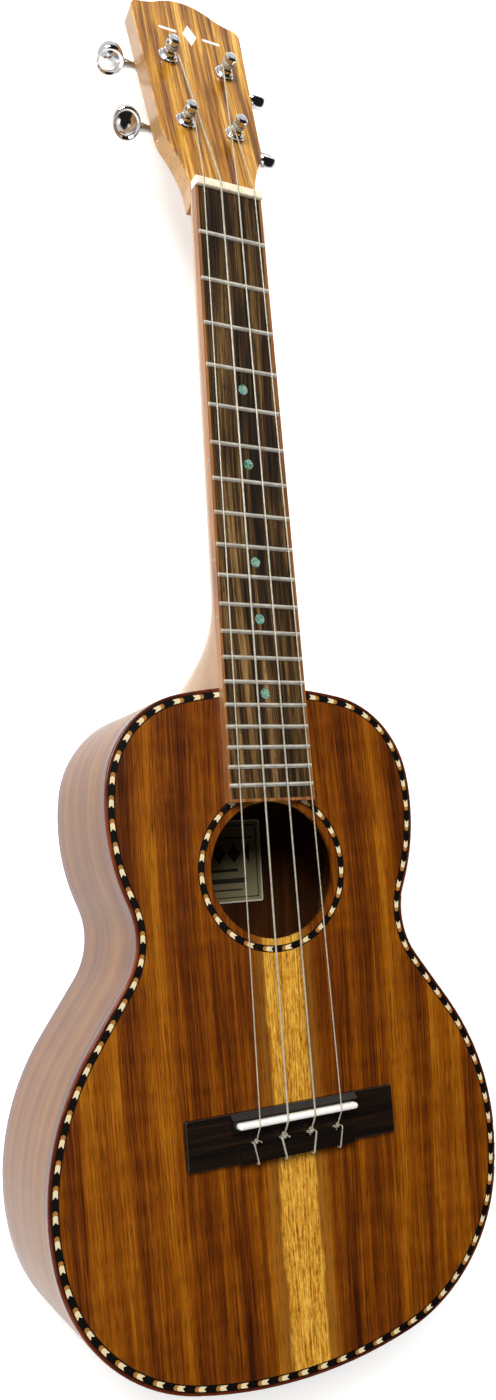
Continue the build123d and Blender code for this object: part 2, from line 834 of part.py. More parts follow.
with BuildPart() as tuner_plates:
    for string in string_names:
        frame = tuner_plane(string)
        toward_worm = 1 if worm_side(string) > 0 else -1
        middle = toward_worm * (screw_spots[0] + screw_spots[1]) / 2
        with BuildSketch(frame.offset(-headstock_thickness)):
            with Locations((0, middle)):
                RectangleRounded(2 * plate_half_width, 26.5, 2.5)
            Circle(post_radius + 0.4, mode=Mode.SUBTRACT)
            for spot in screw_spots:
                with Locations((0, toward_worm * spot)):
                    Circle(screw_radius + glue_gap, mode=Mode.SUBTRACT)
        extrude(amount=-plate_thickness)
        with BuildSketch(frame.offset(plate_back)):
            for ear_x in (-ear_inner - ear_thickness / 2, ear_inner + ear_thickness / 2):
                with Locations((ear_x, worm_side(string))):
                    Rectangle(ear_thickness, 6.0)
        extrude(amount=-7.2)
        with BuildSketch(worm_plane(string)):
            Circle(worm_shaft_radius + fit_gap)
        extrude(amount=10.0, both=True, mode=Mode.SUBTRACT)
write(tuner_plates, "tuner_plates")

screw_profile = [
    (0, 6.8),
    (0.6, 6.2),
    (screw_radius, 5.2),
    (screw_radius, 0),
    (1.9, 0),
    (1.9, -0.5),
    (1.3, -1.1),
    (0, -1.2),
]

with BuildPart() as tuner_screws:
    for string in string_names:
        frame = tuner_plane(string).offset(plate_back)
        toward_worm = 1 if worm_side(string) > 0 else -1
        for spot in screw_spots:
            foot = frame.from_local_coords(Vector(0, toward_worm * spot, 0))
            seat = Plane(origin=foot, x_dir=frame.x_dir, z_dir=frame.z_dir)
            add(turned(seat, screw_profile))
            with BuildSketch(seat.offset(-1.4)):
                Rectangle(4.2, 0.5)
                Rectangle(0.5, 4.2)
            extrude(amount=0.7, mode=Mode.SUBTRACT)
write(tuner_screws, "tuner_screws")


def gear_face():
    """A spur wheel's outline: a round blank with a tooth for each step."""
    tip = tooth_width / 2 - (gear_tip_radius - gear_pitch_radius) * flank
    root = tooth_width / 2 + (gear_pitch_radius - gear_root_radius) * flank
    tooth_corners = [
        (gear_root_radius - 0.3, -root),
        (gear_tip_radius, -tip),
        (gear_tip_radius, tip),
        (gear_root_radius - 0.3, root),
    ]
    with BuildSketch() as sketch:
        Circle(gear_root_radius)
        with PolarLocations(0, gear_teeth):
            Polygon(*tooth_corners, align=None)
    return sketch.sketch


# The worm's thread, upright on the origin with a groove facing +X half way up.
thread_height = thread_turns * worm_lead

with BuildPart() as thread:
    with BuildLine() as thread_path:
        Helix(worm_lead, thread_height, worm_core_radius, center=(0, 0, -thread_height / 2))
    thread_foot = (worm_core_radius, 0, -thread_height / 2)
    with BuildSketch(Plane(origin=thread_foot, x_dir=(1, 0, 0), z_dir=(0, 1, 0))):
        Polygon(
            (-0.5, -thread_root),
            (worm_tip_radius - worm_core_radius, -thread_tip),
            (worm_tip_radius - worm_core_radius, thread_tip),
            (-0.5, thread_root),
            align=None,
        )
    sweep(path=thread_path.line, is_frenet=True)

post_profile = [
    (0, gear_bottom + 0.1),
    (gear_seat_radius, gear_bottom + 0.1),
    (gear_seat_radius, gear_top),
    (3.9, gear_top),
    (3.9, plate_back - 0.3),
    (post_radius, plate_back - 0.3),
    (post_radius, 3.7),
    (waist_radius, 4.4),
    (waist_radius, 8.3),
    (post_radius, 8.9),
    (post_radius, 9.9),
    (2.6, 10.3),
    (1.6, post_top),
    (0, post_top),
]
gear_screw_profile = [
    (0, gear_bottom + 4.6),
    (1.0, gear_bottom + 4.2),
    (1.0, gear_bottom),
    (2.7, gear_bottom),
    (2.7, gear_bottom - 0.7),
    (1.9, gear_bottom - 1.3),
    (0, gear_bottom - 1.4),
]
collar = ear_inner + ear_thickness + 0.2
worm_profile = [
    (0, -7.2),
    (2.2, -7.2),
    (2.2, -collar),
    (worm_shaft_radius, -collar),
    (worm_shaft_radius, -thread_height / 2 - 0.6),
    (worm_core_radius, -thread_height / 2 - 0.6),
    (worm_core_radius, thread_height / 2 + 0.6),
    (worm_shaft_radius, thread_height / 2 + 0.6),
    (worm_shaft_radius, collar),
    (2.4, collar),
    (2.4, 9.0),
    (2.0, 10.0),
    (1.7, 13.0),
    (2.2, button_reach - button_along / 2 + 0.1),
    (1.5, button_reach - button_along / 2 + 0.1),
    (1.5, button_reach - 3.0),
    (0, button_reach - 3.0),
]


def string_radius(string):
    return string_diameters[string] / 2


def winding_radius(string):
    """Distance from the post's axis to the middle of the string wound on it."""
    return waist_radius + glue_gap + string_radius(string)


def nut_exit(string):
    """Where the string leaves the nut for its post, on the deck."""
    level = nut_slot_floor + 0.05 + string_radius(string)
    return deck_point(string_at_nut[string], nut_back_y + 0.3, level)


def tangent_turn(string):
    """Direction, in the headstock's plane, from the post's axis to where its string meets the winding."""
    x, s = post_places[string]
    start = head.to_local_coords(nut_exit(string))
    spread = acos_degrees(winding_radius(string) / hypot(x - start.X, s - start.Y))
    towards_nut = degrees(atan2(start.Y - s, start.X - x))
    return towards_nut + spread if x < 0 else towards_nut - spread


def acos_degrees(value):
    return 90 - degrees(asin(value))


for string in string_names:
    frame = tuner_plane(string)
    toward_worm = 1 if worm_side(string) > 0 else -1
    with BuildPart() as post:
        add(turned(frame, post_profile))
        with BuildSketch(axial(frame)):
            with Locations((0, winding_base + 1.2)):
                Circle(0.7)
        extrude(amount=5.0, both=True, mode=Mode.SUBTRACT)
        with BuildSketch(frame.offset(gear_bottom)):
            Circle(1.0 + glue_gap)
        extrude(amount=5.0, mode=Mode.SUBTRACT)
    write(post, f"{string}_post")

    with BuildPart() as gear:
        with BuildSketch(frame.offset(gear_bottom)):
            add(gear_face(), rotation=90 * toward_worm)
            Circle(gear_seat_radius + glue_gap, mode=Mode.SUBTRACT)
        extrude(amount=gear_width)
        add(turned(frame, gear_screw_profile))
        with BuildSketch(frame.offset(gear_bottom - 1.6)):
            Rectangle(6.0, 0.6)
        extrude(amount=0.9, mode=Mode.SUBTRACT)
    write(gear, f"{string}_gear")

    with BuildPart() as worm:
        add(turned(worm_plane(string), worm_profile))
        with Locations(worm_plane(string)):
            add(thread.part)
    write(worm, f"{string}_worm")

    with BuildPart() as button:
        with BuildSketch(button_plane(string)):
            Ellipse(button_along / 2, button_across / 2)
        extrude(amount=button_thickness / 2, both=True)
        fillet(button.edges(), 2.6)
        with BuildSketch(worm_plane(string).offset(button_reach - button_along)):
            Circle(1.5 + glue_gap)
        extrude(amount=button_along - 2.9, mode=Mode.SUBTRACT)
    write(button, f"{string}_button")

    radius = winding_radius(string)
    pitch = string_diameters[string] + 0.06
    with BuildPart() as coil:
        with BuildLine() as coil_path:
            Helix(pitch, winding_turns * pitch, radius, lefthand=post_places[string][0] > 0)
        with BuildSketch(Plane(origin=coil_path.line @ 0, z_dir=coil_path.line % 0)):
            Circle(string_radius(string))
        sweep(path=coil_path.line, is_frenet=True)
    turn = radians(tangent_turn(string))
    meeting = head.x_dir * cos(turn) + head.y_dir * sin(turn)
    with BuildPart() as winding:
        with Locations(Plane(origin=frame.origin, x_dir=meeting, z_dir=frame.z_dir).offset(winding_base)):
            add(coil.part)
    write(winding, f"{string}_winding")

# Strings
# Each string is one length: from beside its post over the nut and saddle, through the tie block, up behind
# it, forward over the top and once round itself.
saddle_arch = saddle_thickness / 2


def saddle_corner(string):
    """Where the string's two straight runs would meet above the saddle, as (y, height)."""
    round_radius = saddle_arch + string_radius(string) + string_rise
    centre = (saddle_y, saddle_crest - saddle_arch)
    hole = (tie_front_y + 0.3, tie_hole_height)
    back, down = hole[0] - centre[0], hole[1] - centre[1]
    slope = atan2(-down, -back) + asin(round_radius / hypot(back, down))
    return centre[0] - round_radius * tan(slope / 2), centre[1] + round_radius


for string in string_names:
    radius = string_radius(string)
    x = string_at_saddle[string]
    outward = 1 if x > 0 else -1
    corner_y, corner_level = saddle_corner(string)
    coil_radius = winding_radius(string)
    turn = radians(tangent_turn(string))
    post_x, post_s = post_places[string]
    meeting = head.from_local_coords(
        Vector(post_x + coil_radius * cos(turn), post_s + coil_radius * sin(turn), winding_base)
    )
    short_of_post = (coil_radius + 2 * radius + 0.32) ** 2 - coil_radius**2
    start = meeting + (nut_exit(string) - meeting).normalized() * short_of_post**0.5
    block_top = block_height + radius + 0.08
    under_level = wing_height + radius + 0.08
    behind = bridge_back_y - 1.1
    front = tie_front_y + knot_reach
    route = [
        start,
        nut_exit(string),
        deck_point(x, corner_y, corner_level),
        deck_point(x, tie_front_y + 0.3, tie_hole_height),
        deck_point(x, behind, tie_hole_height),
        deck_point(x, behind, block_top),
        deck_point(x + outward * knot_half_width, front, block_top),
        deck_point(x + outward * knot_half_width, front, under_level),
        deck_point(x - outward * knot_half_width, front, under_level),
        deck_point(x - outward * knot_half_width, front, block_top),
    ]
    with BuildPart() as cord:
        with BuildLine() as cord_path:
            FilletPolyline(*route, radius=[3.0, saddle_arch + radius + string_rise] + [0.9] * 6)
        with BuildSketch(Plane(origin=cord_path.line @ 0, z_dir=cord_path.line % 0)):
            Circle(radius)
        sweep(path=cord_path.line)
    write(cord, f"{string}_string")
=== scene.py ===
import json
import math

import bpy
from mathutils import Matrix, Vector


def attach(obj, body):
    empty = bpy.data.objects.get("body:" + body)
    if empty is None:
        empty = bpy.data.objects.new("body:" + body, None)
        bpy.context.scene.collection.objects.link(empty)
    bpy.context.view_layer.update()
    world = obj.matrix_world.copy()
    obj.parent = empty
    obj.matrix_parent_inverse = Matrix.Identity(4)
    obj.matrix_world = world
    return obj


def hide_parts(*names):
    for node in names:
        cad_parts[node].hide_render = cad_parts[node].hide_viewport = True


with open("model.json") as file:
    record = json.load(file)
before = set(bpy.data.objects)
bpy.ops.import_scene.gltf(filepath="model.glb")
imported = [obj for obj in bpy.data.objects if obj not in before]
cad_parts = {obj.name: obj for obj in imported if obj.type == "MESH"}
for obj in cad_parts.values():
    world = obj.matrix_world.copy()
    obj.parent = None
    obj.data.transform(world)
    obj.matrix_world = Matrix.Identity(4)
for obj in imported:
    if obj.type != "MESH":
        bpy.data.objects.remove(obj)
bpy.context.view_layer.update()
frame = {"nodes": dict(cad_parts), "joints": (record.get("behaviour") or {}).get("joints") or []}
nodes = frame["nodes"]
mm = 0.001

# sizes of the instrument that the pieces below share, in millimetres and degrees
body = {
    "neckDepth": 69.0,
    "tailDepth": 79.0,
    # tail to neck as runs of (radius, turn); a radius of 0 is a straight run of that length
    "outline": [
        (222.0, 14.5), (80.0, 63.5), (118.0, 47.5), (0.0, 30.0), (-37.0, 58.0), (102.0, 31.5), (47.0, 69.5),
    ],
    "scale": 432.0,
    "joinFret": 14,
    "soundholeToNut": 327.4,
}


def walkOutline():  # each run as start x, start y, heading, radius, turn, and the body's length
    x, y, heading, runs = 0.0, 0.0, 0.0, []
    for radius, turn in body["outline"]:
        runs.append((x, y, heading, radius, turn))
        if radius == 0:
            x += turn * math.cos(heading)
            y += turn * math.sin(heading)
            continue
        after = heading + math.copysign(math.radians(turn), radius)
        x += radius * (math.sin(after) - math.sin(heading))
        y += radius * (math.cos(heading) - math.cos(after))
        heading = after
    closing = x / math.sin(heading)
    runs.append((x, y, heading, closing, 180 - math.degrees(heading)))
    return runs, y + closing * (1 + math.cos(heading))


outlineRuns, bodyLength = walkOutline()
halfLength = bodyLength / 2
nutY = halfLength + body["scale"] * (1 - 2 ** (-body["joinFret"] / 12)) + 1.0
soundholeY = nutY - body["soundholeToNut"]
taper = math.atan((body["tailDepth"] - body["neckDepth"]) / bodyLength)
deckLevel = (body["neckDepth"] + body["tailDepth"]) / 2
deckMatrix = Matrix.Translation((0, 0, deckLevel)) @ Matrix.Rotation(-taper, 4, "X")


def onDeck(x, y, z=0.0):  # a place on the soundboard, in millimetres, as a place in the scene, in metres
    return (deckMatrix @ Vector((x, y, z))) * mm


print("shape of the body worked out:", round(bodyLength, 1), "mm long")

# camera
view = {
    "place": (-0.2389, 0.0843, 0.5261),
    "turn": (3.422, -28.094, -3.808),  # degrees about X, Y and Z
    "lens": 28.17,
    "shiftX": -0.0229,
    "shiftY": 0.0808,
}
cameraData = bpy.data.cameras.new("camera")
cameraData.sensor_width = 36.0
cameraData.lens = view["lens"]
cameraData.shift_x = view["shiftX"]
cameraData.shift_y = view["shiftY"]
cameraData.clip_start = 0.01
cameraData.clip_end = 60.0
camera = bpy.data.objects.new("camera", cameraData)
camera.location = view["place"]
camera.rotation_euler = [math.radians(angle) for angle in view["turn"]]
bpy.context.scene.collection.objects.link(camera)
bpy.context.scene.camera = camera
bpy.context.scene.view_settings.view_transform = "Standard"


def linearColour(hexText):  # sRGB hex to the linear colour that Blender's sockets take
    parts = [int(hexText[i:i + 2], 16) / 255 for i in (1, 3, 5)]
    return tuple(c / 12.92 if c <= 0.04045 else ((c + 0.055) / 1.055) ** 2.4 for c in parts) + (1.0,)


def addNode(tree, kind, links=None, stops=None, **settings):  # adds a node with its settings, links and ramp stops
    node = tree.nodes.new("ShaderNode" + kind)
    for key, value in settings.items():
        setattr(node, key, value)
    for key, value in (links or {}).items():
        if isinstance(value, bpy.types.Node):
            value = next(socket for socket in value.outputs if socket.enabled)
        if isinstance(value, bpy.types.NodeSocket):
            tree.links.new(value, node.inputs[key])
        else:
            node.inputs[key].default_value = linearColour(value) if isinstance(value, str) else value
    if stops:
        while len(node.color_ramp.elements) > 1:
            node.color_ramp.elements.remove(node.color_ramp.elements[-1])
        node.color_ramp.elements[0].position = stops[0][0]
        node.color_ramp.elements[0].color = linearColour(stops[0][1])
        for position, colour in stops[1:]:
            node.color_ramp.elements.new(position).color = linearColour(colour)
    return node


def newMaterial(name):  # a material with an empty tree, ready for its shader
    material = bpy.data.materials.new(name)
    material.use_nodes = True
    material.node_tree.nodes.clear()
    return material, material.node_tree


def finishMaterial(tree, links, height=None, depth=0.0):  # the surface shader, with a bump of that many millimetres
    if height is not None:
        bump = addNode(tree, "Bump", {"Height": height, "Strength": 1.0, "Distance": depth * mm})
        links = {**links, "Normal": bump}
    shader = addNode(tree, "BsdfPrincipled", links)
    addNode(tree, "OutputMaterial", {"Surface": shader})


# Woods. Each is bands of colour along the grain with finer streaks and dark pores in them.
# Sizes are (x, y, z) of one blotch in millimetres, so the long one runs along the grain.
# Real pores and streaks are about half as wide: they are drawn as coarse as they need to show.
grainRules = {
    "wander": (0.02, 3.0),  # how far the grain lines drift sideways, in metres, and the scale of the drift
    "details": {"streaks": 3.0, "pores": 1.0, "curl": 1.0, "drift": 1.0},  # each wood says its own for bands
    "softness": 0.58,
    "poreCut": (0.55, 0.72),  # noise values between which a pore fades in
    # painted shade on inner faces: how much of it, and its near-black colour
    "insideShare": 0.8,
    "paintedShadeColour": "#140a05",
}
woodLooks = {
    # bookmatched acacia soundboard, buffed high gloss: deep orange-brown with dark and golden stripes
    "acaciaTop": {
        "stops": [(0.24, "#341200"), (0.4, "#5c2800"), (0.5, "#723800"), (0.6, "#884902"), (0.78, "#a8670e")],
        "bands": (8.0, 420.0, 300.0), "bandDetail": 4.0,
        "streaks": (0.7, 46.0, 60.0), "streakShare": 0.66,
        "curl": (17.0, 9.0, 60.0), "curlShare": 0.16,
        "drift": (60.0, 90.0, 300.0), "driftShare": 0.3,
        "pores": (0.45, 9.0, 40.0), "poreShare": 0.6, "poreColour": "#240c00",
        "mirrored": True, "sapwood": True,
        "roughness": (0.36, 0.46), "coat": 0.7, "coatRoughness": 0.04, "relief": 0.012, "specular": 0.3,
    },
    # the same acacia on the back, without the sapwood
    "acaciaBack": {
        "stops": [(0.24, "#431a02"), (0.4, "#663006"), (0.52, "#80440b"), (0.64, "#965915"), (0.8, "#b07325")],
        "bands": (9.0, 500.0, 300.0), "bandDetail": 4.0,
        "streaks": (0.95, 40.0, 60.0), "streakShare": 0.6,
        "curl": (19.0, 10.0, 60.0), "curlShare": 0.16,
        "drift": (60.0, 90.0, 300.0), "driftShare": 0.35,
        "pores": (0.5, 8.0, 20.0), "poreShare": 0.5, "poreColour": "#2a0f00",
        # points of the back higher than this many millimetres, its inner face, get the painted shade
        "mirrored": True, "paintedShadeAbove": 0.6,
        "roughness": (0.32, 0.42), "coat": 0.9, "coatRoughness": 0.05, "relief": 0.012,
    },
    # bent acacia sides: the streaks run round the body
    "acaciaSide": {
        "stops": [(0.26, "#52290a"), (0.42, "#693a0c"), (0.56, "#7c4c14"), (0.74, "#90601f")],
        "bands": (300.0, 300.0, 14.0), "bandDetail": 3.0,
        "streaks": (90.0, 90.0, 1.1), "streakShare": 0.36,
        "curl": (13.0, 13.0, 26.0), "curlShare": 0.14,
        "pores": (9.0, 9.0, 0.45), "poreShare": 0.36, "poreColour": "#2c1203",
        "roughness": (0.34, 0.44), "coat": 0.22, "coatRoughness": 0.06, "relief": 0.008, "specular": 0.3,
    },
    # acacia veneer on the headstock: golden, with close brown streaks down its length
    "acaciaVeneer": {
        "stops": [(0.26, "#4a2906"), (0.4, "#85510f"), (0.5, "#b0771f"), (0.6, "#cd9330"), (0.76, "#f0c66c")],
        "bands": (4.6, 160.0, 300.0), "bandDetail": 4.0,
        "streaks": (0.8, 30.0, 90.0), "streakShare": 0.66,
        "curl": (30.0, 22.0, 60.0), "curlShare": 0.1,
        "drift": (30.0, 60.0, 100.0), "driftShare": 0.3,
        "pores": (0.45, 7.0, 20.0), "poreShare": 0.45, "poreColour": "#5a3309",
        "roughness": (0.3, 0.4), "coat": 0.5, "coatRoughness": 0.05, "relief": 0.01, "specular": 0.25,
    },
    # rosewood binding, lacquered with the body: dark red-brown
    "rosewoodBinding": {
        "stops": [(0.3, "#370f03"), (0.5, "#591f08"), (0.7, "#7c3a16")],
        "bands": (60.0, 60.0, 2.5), "bandDetail": 2.0,
        "streaks": (30.0, 30.0, 0.7), "streakShare": 0.3,
        "curl": (18.0, 18.0, 18.0), "curlShare": 0.1,
        "pores": (3.0, 3.0, 0.35), "poreShare": 0.35, "poreColour": "#1c0702",
        "roughness": (0.28, 0.36), "coat": 0.3, "coatRoughness": 0.06, "relief": 0.006, "specular": 0.35,
    },
    # paler rosewood edge of the fingerboard, oiled: warm tan-brown
    "boardEdge": {
        "stops": [(0.3, "#6d3c1a"), (0.5, "#8f5a2c"), (0.7, "#ab7743")],
        "bands": (2.5, 160.0, 20.0), "bandDetail": 2.0,
        "streaks": (0.6, 40.0, 8.0), "streakShare": 0.3,
        "curl": (18.0, 18.0, 18.0), "curlShare": 0.05,
        "pores": (0.35, 4.0, 0.35), "poreShare": 0.4, "poreColour": "#3f1d0b",
        "roughness": (0.36, 0.46), "coat": 0.3, "coatRoughness": 0.2, "relief": 0.01,
    },
    # light mahogany neck in satin lacquer: even tan with short pores
    "mahoganyNeck": {
        "stops": [(0.28, "#8a5f24"), (0.5, "#ab7c36"), (0.74, "#c3954c")],
        "bands": (8.0, 420.0, 60.0), "bandDetail": 2.0,
        "streaks": (1.2, 70.0, 14.0), "streakShare": 0.3,
        "curl": (26.0, 12.0, 26.0), "curlShare": 0.12,
        "pores": (0.4, 6.0, 1.6), "poreShare": 0.45, "poreColour": "#6b431c",
        "roughness": (0.3, 0.4), "coat": 0.6, "coatRoughness": 0.12, "relief": 0.012,
    },
    # dark rosewood fingerboard, oiled and unlacquered: streaky, with open pores
    "rosewoodBoard": {
        "stops": [(0.28, "#0a0602"), (0.4, "#211407"), (0.5, "#3d2a13"), (0.6, "#624824"), (0.74, "#94754a")],
        "bands": (3.4, 200.0, 200.0), "bandDetail": 4.0,
        "streaks": (0.7, 36.0, 60.0), "streakShare": 0.6,
        "curl": (7.0, 50.0, 50.0), "curlShare": 0.2,
        "drift": (12.0, 50.0, 100.0), "driftShare": 0.3,
        "pores": (0.4, 5.0, 20.0), "poreShare": 0.75, "poreColour": "#150d06",
        "roughness": (0.46, 0.6), "coat": 0.0, "coatRoughness": 0.3, "relief": 0.03, "specular": 0.25,
    },
    # near-black rosewood bridge, satin: a few brown lines along its length
    "darkBridge": {
        "stops": [(0.3, "#080402"), (0.5, "#110904"), (0.66, "#1e1007"), (0.8, "#301b0c")],
        "bands": (120.0, 2.6, 2.6), "bandDetail": 2.0,
        "streaks": (30.0, 0.7, 0.7), "streakShare": 0.4,
        "curl": (30.0, 30.0, 30.0), "curlShare": 0.05,
        "pores": (4.5, 0.4, 0.4), "poreShare": 0.4, "poreColour": "#040201",
        "roughness": (0.3, 0.42), "coat": 0.2, "coatRoughness": 0.15, "relief": 0.015,
    },
    # plain sanded spruce for the braces: close straight grain
    "spruceBrace": {
        "stops": [(0.3, "#b08a52"), (0.5, "#cfae78"), (0.7, "#dcc092")],
        "bands": (200.0, 1.6, 200.0), "bandDetail": 1.0,
        "streaks": (40.0, 0.6, 40.0), "streakShare": 0.3,
        "curl": (20.0, 20.0, 20.0), "curlShare": 0.05,
        "pores": (5.0, 0.4, 5.0), "poreShare": 0.1, "poreColour": "#8a6433",
        "roughness": (0.55, 0.68), "coat": 0.0, "coatRoughness": 0.5, "relief": 0.015,
    },
    # plain sanded mahogany for the blocks and linings
    "mahoganyBlock": {
        "stops": [(0.3, "#6b3a1e"), (0.5, "#87502c"), (0.75, "#9c6840")],
        "bands": (100.0, 100.0, 6.0), "bandDetail": 2.0,
        "streaks": (30.0, 30.0, 1.2), "streakShare": 0.3,
        "curl": (20.0, 20.0, 20.0), "curlShare": 0.08,
        "pores": (4.0, 4.0, 0.4), "poreShare": 0.5, "poreColour": "#3c1c0c",
        "roughness": (0.55, 0.68), "coat": 0.0, "coatRoughness": 0.5, "relief": 0.015,
    },
}
# pale sapwood along the soundboard's centre joint: gold, then brown at both sides, then a dark line
sapwood = {
    "middle": 1.2,  # the stripe lies this far to the treble side, in millimetres
    "goldHalf": (8.6, 10.8),  # where the gold starts and ends its fade
    "brownHalf": (13.0, 17.0),
    "lineAt": 19.0,
    "lineHalf": (0.2, 2.2),
    "lineShare": 0.7,
    "wander": 3.2,
    "wanderScale": 26.0,
    "flecks": (1.0, 4.17, 50.0),  # size of one fleck
    "gold": [(0.36, "#8a5210"), (0.45, "#bf8022"), (0.53, "#dba238"), (0.66, "#f3c25a")],
    "brown": "#93601d",
    "line": "#5e2801",
}


def makeWood(name):  # lacquered or plain wood from its entry above
    look = woodLooks[name]
    material, tree = newMaterial(name)
    place = addNode(tree, "TexCoord").outputs["Object"]
    parts = addNode(tree, "SeparateXYZ", {0: place})
    x = parts.outputs[0]
    if look.get("mirrored"):
        x = addNode(tree, "Math", {0: x}, operation="ABSOLUTE")
    wander, wanderScale = grainRules["wander"]
    slow = addNode(tree, "TexNoise", {"Vector": place, "Scale": wanderScale, "Detail": 1.0})
    x = addNode(tree, "Math", {0: slow, 1: wander, 2: x}, operation="MULTIPLY_ADD")
    grainPlace = addNode(tree, "CombineXYZ", {0: x, 1: parts.outputs[1], 2: parts.outputs[2]})
    layers = {}
    details = {"bands": look["bandDetail"], **grainRules["details"]}
    for layer, detail in details.items():
        if layer not in look:
            continue
        perMetre = [1 / (size * mm) for size in look[layer]]
        scaled = addNode(tree, "VectorMath", {0: grainPlace, 1: perMetre}, operation="MULTIPLY")
        noiseLinks = {"Vector": scaled, "Scale": 1.0, "Detail": detail, "Roughness": grainRules["softness"]}
        layers[layer] = addNode(tree, "TexNoise", noiseLinks)
    tone = layers["bands"]
    for layer, share in (("streaks", "streakShare"), ("curl", "curlShare"), ("drift", "driftShare")):
        if layer not in layers:
            continue
        part = addNode(tree, "Math", {0: layers[layer], 1: 0.5}, operation="SUBTRACT")
        tone = addNode(tree, "Math", {0: part, 1: look[share], 2: tone}, operation="MULTIPLY_ADD")
    colour = addNode(tree, "ValToRGB", {"Fac": tone}, stops=look["stops"])
    if look.get("sapwood"):
        colour = addSapwood(tree, place, layers, colour)
    poreStart, poreEnd = grainRules["poreCut"]
    dashes = addNode(tree, "MapRange", {"Value": layers["pores"], "From Min": poreStart, "From Max": poreEnd})
    poreShare = addNode(tree, "Math", {0: dashes, 1: look["poreShare"]}, operation="MULTIPLY")
    colour = addNode(tree, "Mix", {0: poreShare, 6: colour, 7: look["poreColour"]}, data_type="RGBA")
    if "paintedShadeAbove" in look:  # painted shade: the inner face is darkened almost to black, standing in for the dark inside the body
        inside = addNode(tree, "Math", {0: parts.outputs[2], 1: look["paintedShadeAbove"] * mm}, operation="GREATER_THAN")
        inside = addNode(tree, "Math", {0: inside, 1: grainRules["insideShare"]}, operation="MULTIPLY")
        colour = addNode(tree, "Mix", {0: inside, 6: colour, 7: grainRules["paintedShadeColour"]}, data_type="RGBA")
    low, high = look["roughness"]
    roughLinks = {"Value": layers["streaks"], "From Min": 0.3, "From Max": 0.7, "To Min": low, "To Max": high}
    rough = addNode(tree, "MapRange", roughLinks)
    links = {
        "Base Color": colour,
        "Roughness": rough,
        "IOR": 1.45,
        "Specular IOR Level": look.get("specular", 0.5),
        "Coat Weight": look["coat"],
        "Coat Roughness": look["coatRoughness"],
    }
    height = addNode(tree, "Math", {0: layers["streaks"], 1: dashes}, operation="SUBTRACT")
    finishMaterial(tree, links, height, look["relief"])
    return material


def addSapwood(tree, place, layers, colour):  # lays the pale stripe and its margins over the heartwood
    parts = addNode(tree, "SeparateXYZ", {0: place})
    fromMiddle = addNode(tree, "Math", {0: parts.outputs[0], 1: sapwood["middle"] * mm}, operation="SUBTRACT")
    distance = addNode(tree, "Math", {0: fromMiddle}, operation="ABSOLUTE")
    waveLinks = {"Vector": place, "Scale": sapwood["wanderScale"], "Detail": 3.0, "Roughness": 0.6}
    wave = addNode(tree, "TexNoise", waveLinks)
    wave = addNode(tree, "Math", {0: wave, 1: 0.5}, operation="SUBTRACT")
    widest = 2 * sapwood["wander"] * mm
    distance = addNode(tree, "Math", {0: wave, 1: widest, 2: distance}, operation="MULTIPLY_ADD")
    shares = {}
    for zone in ("goldHalf", "brownHalf"):
        near, far = [size * mm for size in sapwood[zone]]
        fade = {"Value": distance, "From Min": far, "From Max": near}
        shares[zone] = addNode(tree, "MapRange", fade, interpolation_type="SMOOTHSTEP")
    perMetre = [1 / (size * mm) for size in sapwood["flecks"]]
    flecks = addNode(tree, "VectorMath", {0: place, 1: perMetre}, operation="MULTIPLY")
    flecks = addNode(tree, "TexNoise", {"Vector": flecks, "Scale": 1.0, "Detail": 2.0, "Roughness": 0.7})
    tone = addNode(tree, "Math", {0: layers["streaks"], 1: flecks}, operation="ADD")
    tone = addNode(tree, "Math", {0: tone, 1: 0.5}, operation="MULTIPLY")
    gold = addNode(tree, "ValToRGB", {"Fac": tone}, stops=sapwood["gold"])
    brown = addNode(tree, "Mix", {0: layers["bands"], 6: colour, 7: sapwood["brown"]}, data_type="RGBA")
    offLine = addNode(tree, "Math", {0: distance, 1: sapwood["lineAt"] * mm}, operation="SUBTRACT")
    offLine = addNode(tree, "Math", {0: offLine}, operation="ABSOLUTE")
    near, far = [size * mm for size in sapwood["lineHalf"]]
    lineLinks = {"Value": offLine, "From Min": far, "From Max": near, "To Max": sapwood["lineShare"]}
    line = addNode(tree, "MapRange", lineLinks)
    colour = addNode(tree, "Mix", {0: line, 6: colour, 7: sapwood["line"]}, data_type="RGBA")
    colour = addNode(tree, "Mix", {0: shares["brownHalf"], 6: colour, 7: brown}, data_type="RGBA")
    return addNode(tree, "Mix", {0: shares["goldHalf"], 6: colour, 7: gold}, data_type="RGBA")


woods = {name: makeWood(name) for name in woodLooks}
print("woods made:", ", ".join(woods))

metalLooks = {
    # polished chrome plate on the tuning machines: bright mirror, faint wipe marks
    "polishedChrome": {"stops": [(0.3, "#c9cacd"), (0.7, "#e4e5e8")], "roughness": (0.05, 0.12), "size": 6.0},
    # cut brass worm wheels: warm yellow, slightly dull
    "cutBrass": {"stops": [(0.3, "#b58a42"), (0.7, "#cfa65a")], "roughness": (0.22, 0.35), "size": 2.0},
    # nickel-plated steel worms: grey and softly bright
    "platedSteel": {"stops": [(0.3, "#a9aaab"), (0.7, "#c3c4c5")], "roughness": (0.16, 0.28), "size": 3.0},
    # polished nickel silver fretwire with string wear: bright, faintly warm
    "nickelSilver": {"stops": [(0.3, "#e3dfd4"), (0.7, "#f6f3ea")], "roughness": (0.5, 0.6), "size": 5.0},
}


metalWear = {"scratch": 0.111, "depth": 0.0004}  # width of one wipe mark and how deep it is, in millimetres


